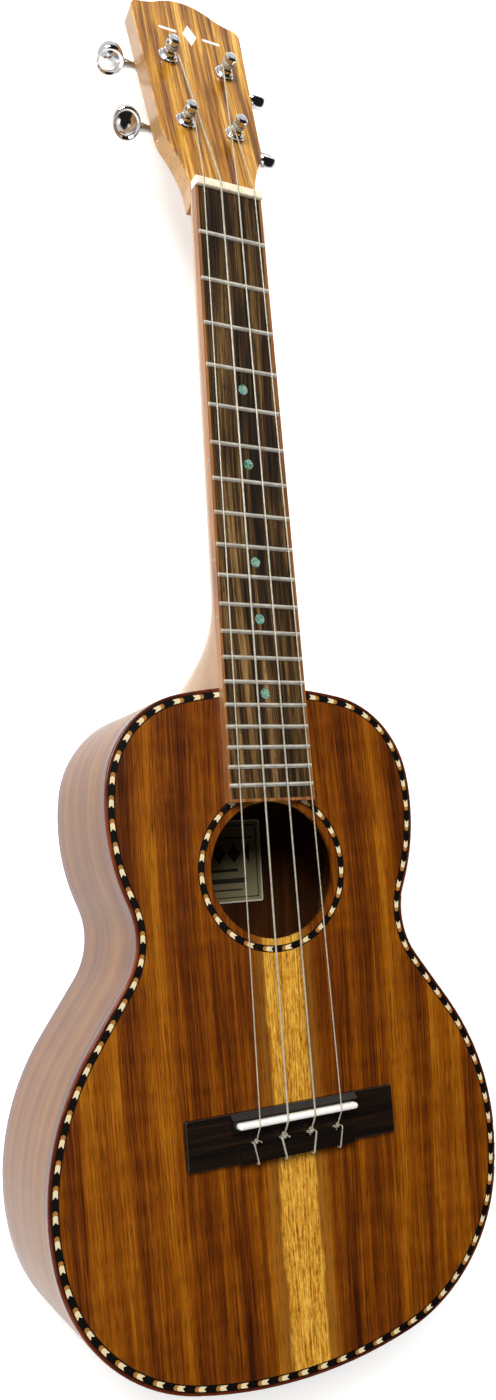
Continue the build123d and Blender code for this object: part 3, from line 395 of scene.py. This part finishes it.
def makeMetal(name):  # patches of slightly different polish under fine wipe marks
    look = metalLooks[name]
    material, tree = newMaterial(name)
    place = addNode(tree, "TexCoord").outputs["Object"]
    patchLinks = {"Vector": place, "Scale": 1 / (look["size"] * mm), "Detail": 3.0, "Roughness": 0.6}
    patches = addNode(tree, "TexNoise", patchLinks)
    scratches = addNode(tree, "TexNoise", {"Vector": place, "Scale": 1 / (metalWear["scratch"] * mm), "Detail": 2.0})
    colour = addNode(tree, "ValToRGB", {"Fac": patches}, stops=look["stops"])
    low, high = look["roughness"]
    roughLinks = {"Value": patches, "From Min": 0.3, "From Max": 0.7, "To Min": low, "To Max": high}
    rough = addNode(tree, "MapRange", roughLinks)
    finishMaterial(tree, {"Base Color": colour, "Metallic": 1.0, "Roughness": rough}, scratches, metalWear["depth"])
    return material


metals = {name: makeMetal(name) for name in metalLooks}

boneLooks = {
    # cut and polished bone nut: slightly yellow
    "boneNut": {"stops": [(0.3, "#e3d8b8"), (0.55, "#f3ebd3"), (0.8, "#faf6e6")], "roughness": 0.3},
    # whiter bone saddle
    "boneSaddle": {"stops": [(0.3, "#f4f2ea"), (0.55, "#fbfaf5"), (0.8, "#ffffff")], "roughness": 0.28},
}


boneGrain = {"cloud": 4.17, "pit": 0.333, "pitDepth": 0.003}  # millimetres


def makeBone(name):  # clouded bone that lets a little light in, with fine pits
    look = boneLooks[name]
    material, tree = newMaterial(name)
    place = addNode(tree, "TexCoord").outputs["Object"]
    cloudLinks = {"Vector": place, "Scale": 1 / (boneGrain["cloud"] * mm), "Detail": 3.0, "Roughness": 0.6}
    clouds = addNode(tree, "TexNoise", cloudLinks)
    pits = addNode(tree, "TexNoise", {"Vector": place, "Scale": 1 / (boneGrain["pit"] * mm), "Detail": 1.0})
    links = {
        "Base Color": addNode(tree, "ValToRGB", {"Fac": clouds}, stops=look["stops"]),
        "Roughness": look["roughness"],
        "IOR": 1.54,
        "Subsurface Weight": 0.35,
        "Subsurface Scale": 2.5 * mm,
    }
    finishMaterial(tree, links, pits, boneGrain["pitDepth"])
    return material


bones = {name: makeBone(name) for name in boneLooks}

shellLooks = {
    # polished abalone dots: dark green and blue patches with silver glints and growth lines
    "abalone": {
        "stops": [(0.28, "#1d4038"), (0.42, "#4c8872"), (0.52, "#9fc2a8"), (0.62, "#6f9aa6"), (0.76, "#2c4a5c")],
        "patch": 1.5, "lineShare": 0.75, "line": "#152622",
    },
    # mother-of-pearl inlay: silver white with faint pink and blue
    "motherOfPearl": {
        "stops": [(0.28, "#d2d4cd"), (0.45, "#f2f2ea"), (0.6, "#efe4e2"), (0.76, "#dbe6e6")],
        "patch": 3.0, "lineShare": 0.15, "line": "#a9aaa2",
    },
}


shellLines = {"size": (2.0, 0.526, 3.33), "cut": (0.52, 0.64), "depth": 0.002}  # growth lines, in millimetres


def makeShell(name):  # patches of colour crossed by growth lines, polished
    look = shellLooks[name]
    material, tree = newMaterial(name)
    place = addNode(tree, "TexCoord").outputs["Object"]
    patchLinks = {"Vector": place, "Scale": 1 / (look["patch"] * mm), "Detail": 2.0, "Distortion": 1.0}
    patches = addNode(tree, "TexNoise", patchLinks)
    perMetre = [1 / (size * mm) for size in shellLines["size"]]
    stretched = addNode(tree, "VectorMath", {0: place, 1: perMetre}, operation="MULTIPLY")
    lines = addNode(tree, "TexNoise", {"Vector": stretched, "Scale": 1.0, "Detail": 2.0, "Distortion": 1.4})
    start, end = shellLines["cut"]
    growthLinks = {"Value": lines, "From Min": start, "From Max": end, "To Max": look["lineShare"]}
    growth = addNode(tree, "MapRange", growthLinks)
    colour = addNode(tree, "ValToRGB", {"Fac": patches}, stops=look["stops"])
    links = {
        "Base Color": addNode(tree, "Mix", {0: growth, 6: colour, 7: look["line"]}, data_type="RGBA"),
        "Roughness": 0.16,
        "IOR": 1.55,
        "Coat Weight": 0.5,
        "Coat Roughness": 0.05,
    }
    finishMaterial(tree, links, lines, shellLines["depth"])
    return material


shells = {name: makeShell(name) for name in shellLooks}

nylonLook = {  # clear grey nylon: glossy, and the wood shows through it
    "stops": [(0.3, "#c9c3b0"), (0.7, "#e6e1d2")],
    "roughness": 0.2,
    "clearness": 0.55,
    "cloud": 3.33,  # size of one cloud in millimetres
    "relief": 0.002,
}


def makeNylon():  # part clear, so what lies behind a string shows through
    material, tree = newMaterial("clearNylon")
    place = addNode(tree, "TexCoord").outputs["Object"]
    cloud = addNode(tree, "TexNoise", {"Vector": place, "Scale": 1 / (nylonLook["cloud"] * mm), "Detail": 2.0})
    links = {
        "Base Color": addNode(tree, "ValToRGB", {"Fac": cloud}, stops=nylonLook["stops"]),
        "Roughness": nylonLook["roughness"],
        "IOR": 1.53,
        "Transmission Weight": nylonLook["clearness"],
    }
    finishMaterial(tree, links, cloud, nylonLook["relief"])
    return material


clearNylon = makeNylon()

labelLook = {
    "centreY": 4.0,  # from the soundhole's centre
    "half": (29.0, 21.75),
    # paper colours darkened below the label's own cream, as painted shade for the dark inside the body
    "paper": [(0.3, "#8d8560"), (0.7, "#a39b76")],
    "ink": "#0f0d08",
    "inkShare": 0.92,
    "fibre": 0.77,  # width of one paper fibre in millimetres, drawn coarse enough to show
    "relief": 0.02,
    "edge": "#e8e6dc",
    "edgeWidth": 0.7,
    "frame": (2.4, 3.0),  # distance of the printed frame from the paper's edge
    # plain rules as height, thickness and half length
    "rules": [(12.4, 0.7, 25.0), (-4.6, 1.6, 15.0), (-10.2, 2.6, 20.0), (-15.0, 0.9, 17.0)],
    "diamonds": {"height": 4.4, "reach": 22.0, "spacing": 8.8, "size": (0.44, 5.4)},
}


def makeLabelPaper():  # matt paper, its colour darkened as painted shade for the dark inside the body: a white edge, a frame, rules and a row of diamonds
    material, tree = newMaterial("labelPaper")
    place = addNode(tree, "TexCoord").outputs["Object"]
    parts = addNode(tree, "SeparateXYZ", {0: place})
    x = addNode(tree, "Math", {0: parts.outputs[0]}, operation="ABSOLUTE")
    centre = (soundholeY + labelLook["centreY"]) * mm
    y = addNode(tree, "Math", {0: parts.outputs[1], 1: centre}, operation="SUBTRACT")
    absY = addNode(tree, "Math", {0: y}, operation="ABSOLUTE")
    fromEdgeX = addNode(tree, "Math", {0: labelLook["half"][0] * mm, 1: x}, operation="SUBTRACT")
    fromEdgeY = addNode(tree, "Math", {0: labelLook["half"][1] * mm, 1: absY}, operation="SUBTRACT")
    edge = addNode(tree, "Math", {0: fromEdgeX, 1: fromEdgeY}, operation="MINIMUM")
    outer, inner = [distance * mm for distance in labelLook["frame"]]
    ink = addNode(tree, "Math", {0: edge, 1: (outer + inner) / 2, 2: (inner - outer) / 2}, operation="COMPARE")
    for height, thickness, reach in labelLook["rules"]:
        rule = addNode(tree, "Math", {0: y, 1: height * mm, 2: thickness / 2 * mm}, operation="COMPARE")
        short = addNode(tree, "Math", {0: x, 1: reach * mm}, operation="LESS_THAN")
        rule = addNode(tree, "Math", {0: rule, 1: short}, operation="MULTIPLY")
        ink = addNode(tree, "Math", {0: ink, 1: rule}, operation="MAXIMUM")
    row = labelLook["diamonds"]
    wide, tall = row["size"]
    step = addNode(tree, "Math", {0: parts.outputs[0], 1: 1 / (row["spacing"] * mm)}, operation="MULTIPLY")
    step = addNode(tree, "Math", {0: step}, operation="FRACT")
    step = addNode(tree, "Math", {0: step, 1: 0.5}, operation="SUBTRACT")
    step = addNode(tree, "Math", {0: step}, operation="ABSOLUTE")
    step = addNode(tree, "Math", {0: step, 1: 1 / wide}, operation="MULTIPLY")
    rise = addNode(tree, "Math", {0: y, 1: row["height"] * mm}, operation="SUBTRACT")
    rise = addNode(tree, "Math", {0: rise}, operation="ABSOLUTE")
    lozenge = addNode(tree, "Math", {0: rise, 1: 1 / (tall * mm), 2: step}, operation="MULTIPLY_ADD")
    lozenge = addNode(tree, "Math", {0: lozenge, 1: 1.0}, operation="LESS_THAN")
    short = addNode(tree, "Math", {0: x, 1: row["reach"] * mm}, operation="LESS_THAN")
    lozenge = addNode(tree, "Math", {0: lozenge, 1: short}, operation="MULTIPLY")
    ink = addNode(tree, "Math", {0: ink, 1: lozenge}, operation="MAXIMUM")
    fibreLinks = {"Vector": place, "Scale": 1 / (labelLook["fibre"] * mm), "Detail": 4.0, "Roughness": 0.7}
    fibres = addNode(tree, "TexNoise", fibreLinks)
    paper = addNode(tree, "ValToRGB", {"Fac": fibres}, stops=labelLook["paper"])
    rim = addNode(tree, "Math", {0: edge, 1: labelLook["edgeWidth"] * mm}, operation="LESS_THAN")
    colour = addNode(tree, "Mix", {0: rim, 6: paper, 7: labelLook["edge"]}, data_type="RGBA")
    inkShare = addNode(tree, "Math", {0: ink, 1: labelLook["inkShare"]}, operation="MULTIPLY")
    colour = addNode(tree, "Mix", {0: inkShare, 6: colour, 7: labelLook["ink"]}, data_type="RGBA")
    finishMaterial(tree, {"Base Color": colour, "Roughness": 0.75}, fibres, labelLook["relief"])
    return material


labelPaper = makeLabelPaper()

ropeLook = {
    "repeat": 10.2,  # millimetres from one pale link to the next
    "dark": "#070403",
    "tan": "#a87434",
    "cream": "#f3e3b8",
    "shade": "#8a5a2a",
    "halfLink": 0.66,  # share of the half width that the pale links take
    "linkBlur": 0.03,
    # where along the repeat a link starts and ends on the middle line, and how far each end bows at the edge
    "linkStart": (0.38, 0.16),
    "linkEnd": (0.84, 0.16),
    "creamFrom": (0.17, 0.2),  # share of the repeat, past the link's start, where tan turns to cream
    "fibre": 0.526,  # grain of the inlaid woods in millimetres
    "relief": 0.005,
}


def makeRope():  # inlaid rope: tan and cream links between black ones, with a black line along each side
    material, tree = newMaterial("ropePurfling")
    coordinates = addNode(tree, "UVMap", uv_map="rope")
    parts = addNode(tree, "SeparateXYZ", {0: coordinates})
    along = addNode(tree, "Math", {0: parts.outputs[0]}, operation="FRACT")
    across = addNode(tree, "Math", {0: parts.outputs[1], 1: 2.0, 2: -1.0}, operation="MULTIPLY_ADD")
    across = addNode(tree, "Math", {0: across}, operation="ABSOLUTE")
    rounded = addNode(tree, "Math", {0: across, 1: across}, operation="MULTIPLY")
    middle, bow = ropeLook["linkStart"]
    start = addNode(tree, "Math", {0: rounded, 1: bow, 2: middle}, operation="MULTIPLY_ADD")
    middle, bow = ropeLook["linkEnd"]
    end = addNode(tree, "Math", {0: across, 1: bow, 2: middle}, operation="MULTIPLY_ADD")
    afterStart = addNode(tree, "Math", {0: along, 1: start}, operation="SUBTRACT")
    beforeEnd = addNode(tree, "Math", {0: end, 1: along}, operation="SUBTRACT")
    link = addNode(tree, "Math", {0: afterStart, 1: beforeEnd}, operation="MINIMUM")
    link = addNode(tree, "MapRange", {"Value": link, "From Min": 0.0, "From Max": 0.02})
    half, blur = ropeLook["halfLink"], ropeLook["linkBlur"]
    within = addNode(tree, "MapRange", {"Value": across, "From Min": half + blur, "From Max": half - blur})
    link = addNode(tree, "Math", {0: link, 1: within}, operation="MULTIPLY")
    turn, turned = ropeLook["creamFrom"]
    creamShare = addNode(tree, "MapRange", {"Value": afterStart, "From Min": turn, "From Max": turned})
    place = addNode(tree, "TexCoord").outputs["Object"]
    grainLinks = {"Vector": place, "Scale": 1 / (ropeLook["fibre"] * mm), "Detail": 3.0, "Roughness": 0.6}
    grain = addNode(tree, "TexNoise", grainLinks)
    pale = addNode(tree, "Mix", {0: creamShare, 6: ropeLook["tan"], 7: ropeLook["cream"]}, data_type="RGBA")
    shading = addNode(tree, "Math", {0: grain, 1: 0.25}, operation="MULTIPLY")
    pale = addNode(tree, "Mix", {0: shading, 6: pale, 7: ropeLook["shade"]}, data_type="RGBA")
    colour = addNode(tree, "Mix", {0: link, 6: ropeLook["dark"], 7: pale}, data_type="RGBA")
    links = {"Base Color": colour, "Roughness": 0.35, "Coat Weight": 0.9, "Coat Roughness": 0.05}
    finishMaterial(tree, links, grain, ropeLook["relief"])
    return material


ropePurfling = makeRope()
print("metal, bone, shell, nylon, paper and rope made")


def meshObject(name, points, faces, smooth=True):  # a new mesh object from points in metres
    mesh = bpy.data.meshes.new(name)
    mesh.from_pydata([tuple(p) for p in points], [], faces)
    mesh.polygons.foreach_set("use_smooth", [smooth] * len(mesh.polygons))
    mesh.update()
    piece = bpy.data.objects.new(name, mesh)
    bpy.context.scene.collection.objects.link(piece)
    return piece


# gives a new piece its material and the body it moves with, and hides the nodes it stands for; slotName is not used
def settlePiece(piece, riding, material, slotName, *replaced):
    piece.data.materials.clear()
    piece.data.materials.append(material)
    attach(piece, riding)
    if replaced:
        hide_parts(*replaced)


# sizes of the inlaid strips, in millimetres
ropeStrips = {"width": 3.3, "depth": 1.3, "edgeInset": 3.15, "step": 1.2, "ringRadius": 36.9, "ringSteps": 180}


def makeRopeStrip(name, path, repeats):  # a closed inlaid strip; path is (x, y, inward x, inward y, share)
    half, depth = ropeStrips["width"] / 2, ropeStrips["depth"]
    points, faces, shares = [], [], []
    for x, y, inX, inY, share in path:
        for across, level in ((-half, 0.0), (half, 0.0), (half, -depth), (-half, -depth)):
            points.append(onDeck(x + inX * across, y + inY * across, level))
    count = len(path)
    for i in range(count):
        a, b = 4 * i, 4 * ((i + 1) % count)
        for side in range(4):
            other = (side + 1) % 4
            faces.append((a + side, a + other, b + other, b + side))
            end = path[i + 1][4] if i + 1 < count else 1.0
            acrossShares = (0.0, 1.0, 1.0, 0.0)
            shares.append((path[i][4] * repeats, end * repeats, acrossShares[side], acrossShares[other]))
    piece = meshObject(name, points, faces, smooth=False)
    layer = piece.data.uv_layers.new(name="rope")
    for face, (near, far, v, w) in zip(piece.data.polygons, shares):
        for loop, uv in zip(face.loop_indices, ((near, v), (near, w), (far, w), (far, v))):
            layer.data[loop].uv = uv
    return piece


def outlinePath(inset):  # points round the whole body at an inset, each with its share of the way round
    right = []
    travelled = 0.0
    for x, y, heading, radius, turn in outlineRuns:
        if radius == 0:
            length, centreLength = turn, turn
        else:
            length = abs(radius) * math.radians(turn)
            centreLength = abs(radius - inset) * math.radians(turn)
        steps = max(4, round(length / ropeStrips["step"]))
        for i in range(steps):
            share = i / steps
            if radius == 0:
                px, py = x + turn * share * math.cos(heading), y + turn * share * math.sin(heading)
                ahead = heading
            else:
                ahead = heading + math.copysign(math.radians(turn), radius) * share
                px = x + radius * (math.sin(ahead) - math.sin(heading))
                py = y + radius * (math.cos(heading) - math.cos(ahead))
            inX, inY = -math.sin(ahead), math.cos(ahead)
            along = travelled + centreLength * share
            right.append((px + inX * inset, py - halfLength + inY * inset, inX, inY, along))
        travelled += centreLength
    total = 2 * travelled
    top = (0.0, halfLength - inset, 0.0, -1.0, travelled)
    left = [(-px, py, -inX, inY, total - along) for px, py, inX, inY, along in reversed(right[1:])]
    return [(px, py, inX, inY, along / total) for px, py, inX, inY, along in right + [top] + left], total


edgePath, edgeLength = outlinePath(ropeStrips["edgeInset"])
edgeRope = makeRopeStrip("edgeRope", edgePath, round(edgeLength / ropeLook["repeat"]))
settlePiece(edgeRope, "instrument", ropePurfling, "rope_purfling", "top_purfling")

ringPath = []
for i in range(ropeStrips["ringSteps"]):
    share = i / ropeStrips["ringSteps"]
    outX, outY = math.cos(2 * math.pi * share), math.sin(2 * math.pi * share)
    radius = ropeStrips["ringRadius"]
    ringPath.append((radius * outX, soundholeY + radius * outY, -outX, -outY, share))
ringLength = 2 * math.pi * ropeStrips["ringRadius"]
ringRope = makeRopeStrip("ringRope", ringPath, round(ringLength / ropeLook["repeat"]))
settlePiece(ringRope, "instrument", ropePurfling, "rope_purfling", "rosette")
print("rope purfling laid:", round(edgeLength), "mm round the edge")

head = {"angle": 14.5, "hinge": 1.0}  # how far the headstock leans back, and where it starts past the nut line
buttonShape = {
    "reach": 24.6,  # from the post's axis to the button's centre, in millimetres
    "half": (7.8, 7.8),
    "angles": {"g": 60.0, "c": 86.0, "e": -38.0, "a": -32.0},  # lean of each button's face towards the body
    # share of the half size and height, from the centre of one face to its edge: dome, groove, rim
    "profile": [
        (0.0, 2.75), (0.3, 2.72), (0.52, 2.5), (0.64, 2.05), (0.69, 1.85),
        (0.745, 2.05), (0.8, 2.75), (0.87, 2.95), (0.95, 2.4), (1.0, 1.2),
    ],
    "segments": 48,
}
headTilt = Matrix.Rotation(-taper - math.radians(head["angle"]), 4, "X")
headMatrix = Matrix.Translation(onDeck(0.0, nutY + head["hinge"])) @ headTilt
headUp = (headMatrix.to_3x3() @ Vector((0, 0, 1))).normalized()
headAlong = (headMatrix.to_3x3() @ Vector((0, 1, 0))).normalized()
joints = {joint["name"]: joint for joint in frame["joints"]}


def makeButton(string):  # an oval domed button with a raised rim on both faces
    turn = joints[string + "_knob_turn"]
    outward = -Vector(turn["axis"])
    centre = Vector(turn["pos_m"]) + outward * buttonShape["reach"] * mm
    lean = math.radians(buttonShape["angles"][string])
    normal = headUp * math.cos(lean) - headAlong * math.sin(lean)
    side = normal.cross(outward)
    profile = buttonShape["profile"] + [(share, -height) for share, height in reversed(buttonShape["profile"])]
    points, faces = [], []
    segments = buttonShape["segments"]
    for share, height in profile[1:-1]:
        for i in range(segments):
            angle = 2 * math.pi * i / segments
            along = buttonShape["half"][0] * share * math.cos(angle)
            across = buttonShape["half"][1] * share * math.sin(angle)
            points.append(centre + (outward * along + side * across + normal * height) * mm)
    rings = len(profile) - 2
    for ring in range(rings - 1):
        near, far = ring * segments, (ring + 1) * segments
        for i in range(segments):
            j = (i + 1) % segments
            faces.append((near + i, far + i, far + j, near + j))
    front, back = len(points), len(points) + 1
    points += [centre + normal * profile[0][1] * mm, centre + normal * profile[-1][1] * mm]
    for i in range(segments):
        j = (i + 1) % segments
        faces.append((front, i, j))
        faces.append((back, (rings - 1) * segments + j, (rings - 1) * segments + i))
    return meshObject(string + "Button", points, faces)


for string in "gcea":
    button = makeButton(string)
    settlePiece(button, string + "_knob", metals["polishedChrome"], "chrome_button", string + "_button")
print("tuning buttons shaped")

# string ends: the short reach to each winding, and the knots at the bridge
strings = {
    "diameters": {"g": 0.62, "c": 0.91, "e": 0.81, "a": 0.62},
    "posts": {"g": (-13.3, 40.5), "c": (-15.5, 81.8), "e": (15.5, 81.8), "a": (13.3, 40.5)},
    "nutPlaces": {"g": -13.5, "c": -4.5, "e": 4.5, "a": 13.5},
    "saddlePlaces": {"g": -21.225, "c": -7.075, "e": 7.075, "a": 21.225},
    "nutBack": 2.8,
    "nutFloor": 5.65,
    "waistRadius": 2.42,
    "windingBase": 5.1,
    "tieFront": -450.6,  # the tie block's front, from the nut line
    "holeHeight": 3.6,
    "saddleRise": (10.1, 6.3),  # how far ahead of the tie block the string reaches its full height over the saddle
    "knotTurns": 2.5,
    "knotPitch": 2.2,  # string radii that the wrap climbs in one turn
    "knotStart": (0.7, 0.25),  # past the tie block's front and above the hole
    "knotLift": 0.9,
    "knotGap": 0.06,
    "knotAngle": 0.6,
    "knotSteps": 48,
    "reachGap": 0.32,  # room that the stretched run leaves round the coil, which the reach bridges
    "reachLap": 0.4,
    "reachSteps": 6,
}


def makeTube(name, path, radius, segments=12):  # a round tube with domed ends along a smooth run of points
    points, faces = [], []
    normal = None
    rings = []
    for i, spot in enumerate(path):
        ahead = (path[min(i + 1, len(path) - 1)] - path[max(i - 1, 0)]).normalized()
        if normal is None:
            normal = ahead.orthogonal().normalized()
        normal = (normal - ahead * normal.dot(ahead)).normalized()
        rings.append((spot, ahead, normal.copy()))
    first, last = rings[0], rings[-1]
    capped = [(first[0] - first[1] * radius * 0.5, first[1], first[2], 0.75)]
    capped += [ring + (1.0,) for ring in rings]
    capped.append((last[0] + last[1] * radius * 0.5, last[1], last[2], 0.75))
    for spot, ahead, out, share in capped:
        side = ahead.cross(out)
        for k in range(segments):
            angle = 2 * math.pi * k / segments
            points.append(spot + (out * math.cos(angle) + side * math.sin(angle)) * radius * share)
    for ring in range(len(capped) - 1):
        near, far = ring * segments, (ring + 1) * segments
        for k in range(segments):
            j = (k + 1) % segments
            faces.append((near + k, near + j, far + j, far + k))
    faces.append(tuple(reversed(range(segments))))
    faces.append(tuple(range(len(points) - segments, len(points))))
    return meshObject(name, points, faces)


def makeReach(string):  # carries a string on from the end of its stretched run to the coil on the post
    radius = strings["diameters"][string] / 2
    coil = strings["waistRadius"] + radius
    exitPlace = onDeck(strings["nutPlaces"][string], nutY + strings["nutBack"], strings["nutFloor"] + radius)
    inHead = headMatrix.inverted() @ exitPlace / mm
    x, y = strings["posts"][string]
    spread = math.acos(coil / math.hypot(x - inHead.x, y - inHead.y))
    angle = math.atan2(inHead.y - y, inHead.x - x) + (spread if x < 0 else -spread)
    spot = Vector((x + coil * math.cos(angle), y + coil * math.sin(angle), strings["windingBase"]))
    meeting = headMatrix @ (spot * mm)
    outside = coil + 2 * radius + strings["reachGap"]
    short = math.sqrt(outside ** 2 - coil ** 2) + strings["reachLap"]
    start = meeting + (exitPlace - meeting).normalized() * short * mm
    steps = strings["reachSteps"]
    path = [start.lerp(meeting, i / steps) for i in range(steps + 1)]
    return makeTube(string + "StringReach", path, radius * mm)


def makeKnot(string):  # the string wrapped round itself ahead of the tie block
    radius = strings["diameters"][string] / 2
    x = strings["saddlePlaces"][string]
    forward, rise = strings["knotStart"]
    low = onDeck(x, nutY + strings["tieFront"] + forward, strings["holeHeight"] + rise)
    forward, rise = strings["saddleRise"]
    high = onDeck(x, nutY + strings["tieFront"] + forward, strings["holeHeight"] + rise)
    ahead = (high - low).normalized()
    out = Vector((1, 0, 0))
    side = ahead.cross(out)
    wrap = (2 * radius + strings["knotGap"]) * mm
    climb = strings["knotTurns"] * strings["knotPitch"] * radius
    path = []
    for i in range(strings["knotSteps"] + 1):
        share = i / strings["knotSteps"]
        angle = 2 * math.pi * strings["knotTurns"] * share + strings["knotAngle"]
        centre = low + ahead * (strings["knotLift"] + share * climb) * mm
        path.append(centre + (out * math.cos(angle) + side * math.sin(angle)) * wrap)
    return makeTube(string + "Knot", path, radius * mm)


for string in "gcea":
    settlePiece(makeReach(string), "instrument", clearNylon, "nylon_string")
    settlePiece(makeKnot(string), "instrument", clearNylon, "nylon_string")
print("string ends made")

# finishes of the parts that keep their own shape
finishes = {
    "soundboard_bass": woods["acaciaTop"], "soundboard_treble": woods["acaciaTop"],
    "back_bass": woods["acaciaBack"], "back_treble": woods["acaciaBack"],
    "side_bass": woods["acaciaSide"], "side_treble": woods["acaciaSide"],
    "top_binding": woods["rosewoodBinding"], "back_binding": woods["rosewoodBinding"],
    "end_graft": woods["rosewoodBinding"], "fingerboard_binding": woods["boardEdge"],
    "heel_cap": woods["rosewoodBinding"],
    "neck_block": woods["mahoganyBlock"], "tail_block": woods["mahoganyBlock"],
    "top_lining": woods["mahoganyBlock"], "back_lining": woods["mahoganyBlock"],
    "soundboard_braces": woods["spruceBrace"], "fan_braces": woods["spruceBrace"],
    "back_braces": woods["spruceBrace"], "back_strip": woods["spruceBrace"],
    "bridge_plate": woods["spruceBrace"], "neck_dowels": woods["spruceBrace"],
    "label": labelPaper,
    "neck": woods["mahoganyNeck"], "headstock_veneer": woods["acaciaVeneer"],
    "headstock_inlay": shells["motherOfPearl"], "position_markers": shells["abalone"],
    "fingerboard": woods["rosewoodBoard"], "frets": metals["nickelSilver"],
    "nut": bones["boneNut"], "saddle": bones["boneSaddle"], "bridge": woods["darkBridge"],
    "tuner_bushings": metals["polishedChrome"], "tuner_plates": metals["polishedChrome"],
    "tuner_screws": metals["polishedChrome"],
}
for string in "gcea":
    finishes[string + "_string"] = clearNylon
    finishes[string + "_winding"] = clearNylon
    finishes[string + "_post"] = metals["polishedChrome"]
    finishes[string + "_gear"] = metals["cutBrass"]
    finishes[string + "_worm"] = metals["platedSteel"]
for node, material in finishes.items():
    for materialSlot in nodes[node].material_slots:
        materialSlot.material = material
print("finishes given to", len(finishes), "parts")

# floor and light
studio = {
    "floorRadius": 9.0,
    "restInset": 1.5,  # the paper stops this far in under the back, in millimetres, so the back shows from below
    "floorLevel": -0.1,
    "floorTone": [(0.3, "#f4f4f4"), (0.7, "#f8f8f8")],
    "floorGlow": 0.5,  # keeps the sweep white under the instrument
    "skyDark": (0.42, -0.1, 0.88),  # the studio's unlit corner, as a direction
    "skyCut": (0.34, 0.64),  # how near that direction the sky starts and ends its fade to dark
    "skyStrengths": (0.015, 0.8),
    # place, width, power and colour of each soft light
    "lights": [
        ("keyLight", (-0.73, 1.1, 1.7), 1.0, 44.0, "#fffcf6"),
        ("tailLight", (-0.7, -1.3, 1.5), 0.9, 2.5, "#ffffff"),
    ],
    "aim": (0.0, 0.1, 0.05),
}
restEdge = [Vector((*spot[:2], 0)) * mm for spot in outlinePath(studio["restInset"])[0]]
farEdge = [spot.normalized() * studio["floorRadius"] for spot in restEdge]
lowered = Vector((0, 0, studio["floorLevel"] * mm))  # just under the back, so the two don't coincide
count = len(restEdge)
floorFaces = [(i, count + i, count + (i + 1) % count, (i + 1) % count) for i in range(count)]
floor = meshObject("floor", [spot + lowered for spot in restEdge + farEdge], floorFaces, smooth=False)
floorMaterial, floorTree = newMaterial("whitePaperSweep")  # matt white paper, evenly lit
floorPlace = addNode(floorTree, "TexCoord").outputs["Object"]
floorClouds = addNode(floorTree, "TexNoise", {"Vector": floorPlace, "Scale": 3.0, "Detail": 2.0})
floorTone = addNode(floorTree, "ValToRGB", {"Fac": floorClouds}, stops=studio["floorTone"])
floorLinks = {
    "Base Color": floorTone,
    "Roughness": 0.85,
    "Emission Color": "#ffffff",
    "Emission Strength": studio["floorGlow"],
}
finishMaterial(floorTree, floorLinks)
floor.data.materials.append(floorMaterial)

world = bpy.data.worlds.new("studioSky")
world.use_nodes = True
worldTree = world.node_tree
worldTree.nodes.clear()
skyWay = addNode(worldTree, "TexCoord").outputs["Generated"]
darkWay = Vector(studio["skyDark"]).normalized()
towards = addNode(worldTree, "VectorMath", {0: skyWay, 1: list(darkWay)}, operation="DOT_PRODUCT").outputs["Value"]
darkStrength, brightStrength = studio["skyStrengths"]
fadeStart, fadeEnd = studio["skyCut"]
skyLinks = {
    "Value": towards,
    "From Min": fadeStart,
    "From Max": fadeEnd,
    "To Min": brightStrength,
    "To Max": darkStrength,
}
skyStrength = addNode(worldTree, "MapRange", skyLinks, interpolation_type="SMOOTHSTEP")
seenStraight = addNode(worldTree, "LightPath").outputs["Is Camera Ray"]
skyStrength = addNode(worldTree, "Math", {0: skyStrength, 1: seenStraight}, operation="MAXIMUM")
background = addNode(worldTree, "Background", {"Color": "#ffffff", "Strength": skyStrength})
addNode(worldTree, "OutputWorld", {"Surface": background})
bpy.context.scene.world = world
for name, spot, width, power, colour in studio["lights"]:
    lightData = bpy.data.lights.new(name, "AREA")
    lightData.shape = "DISK"
    lightData.size = width
    lightData.energy = power
    lightData.color = linearColour(colour)[:3]
    light = bpy.data.objects.new(name, lightData)
    light.location = spot
    light.rotation_euler = (Vector(studio["aim"]) - Vector(spot)).to_track_quat("-Z", "Y").to_euler()
    bpy.context.scene.collection.objects.link(light)
print("floor and lights set")
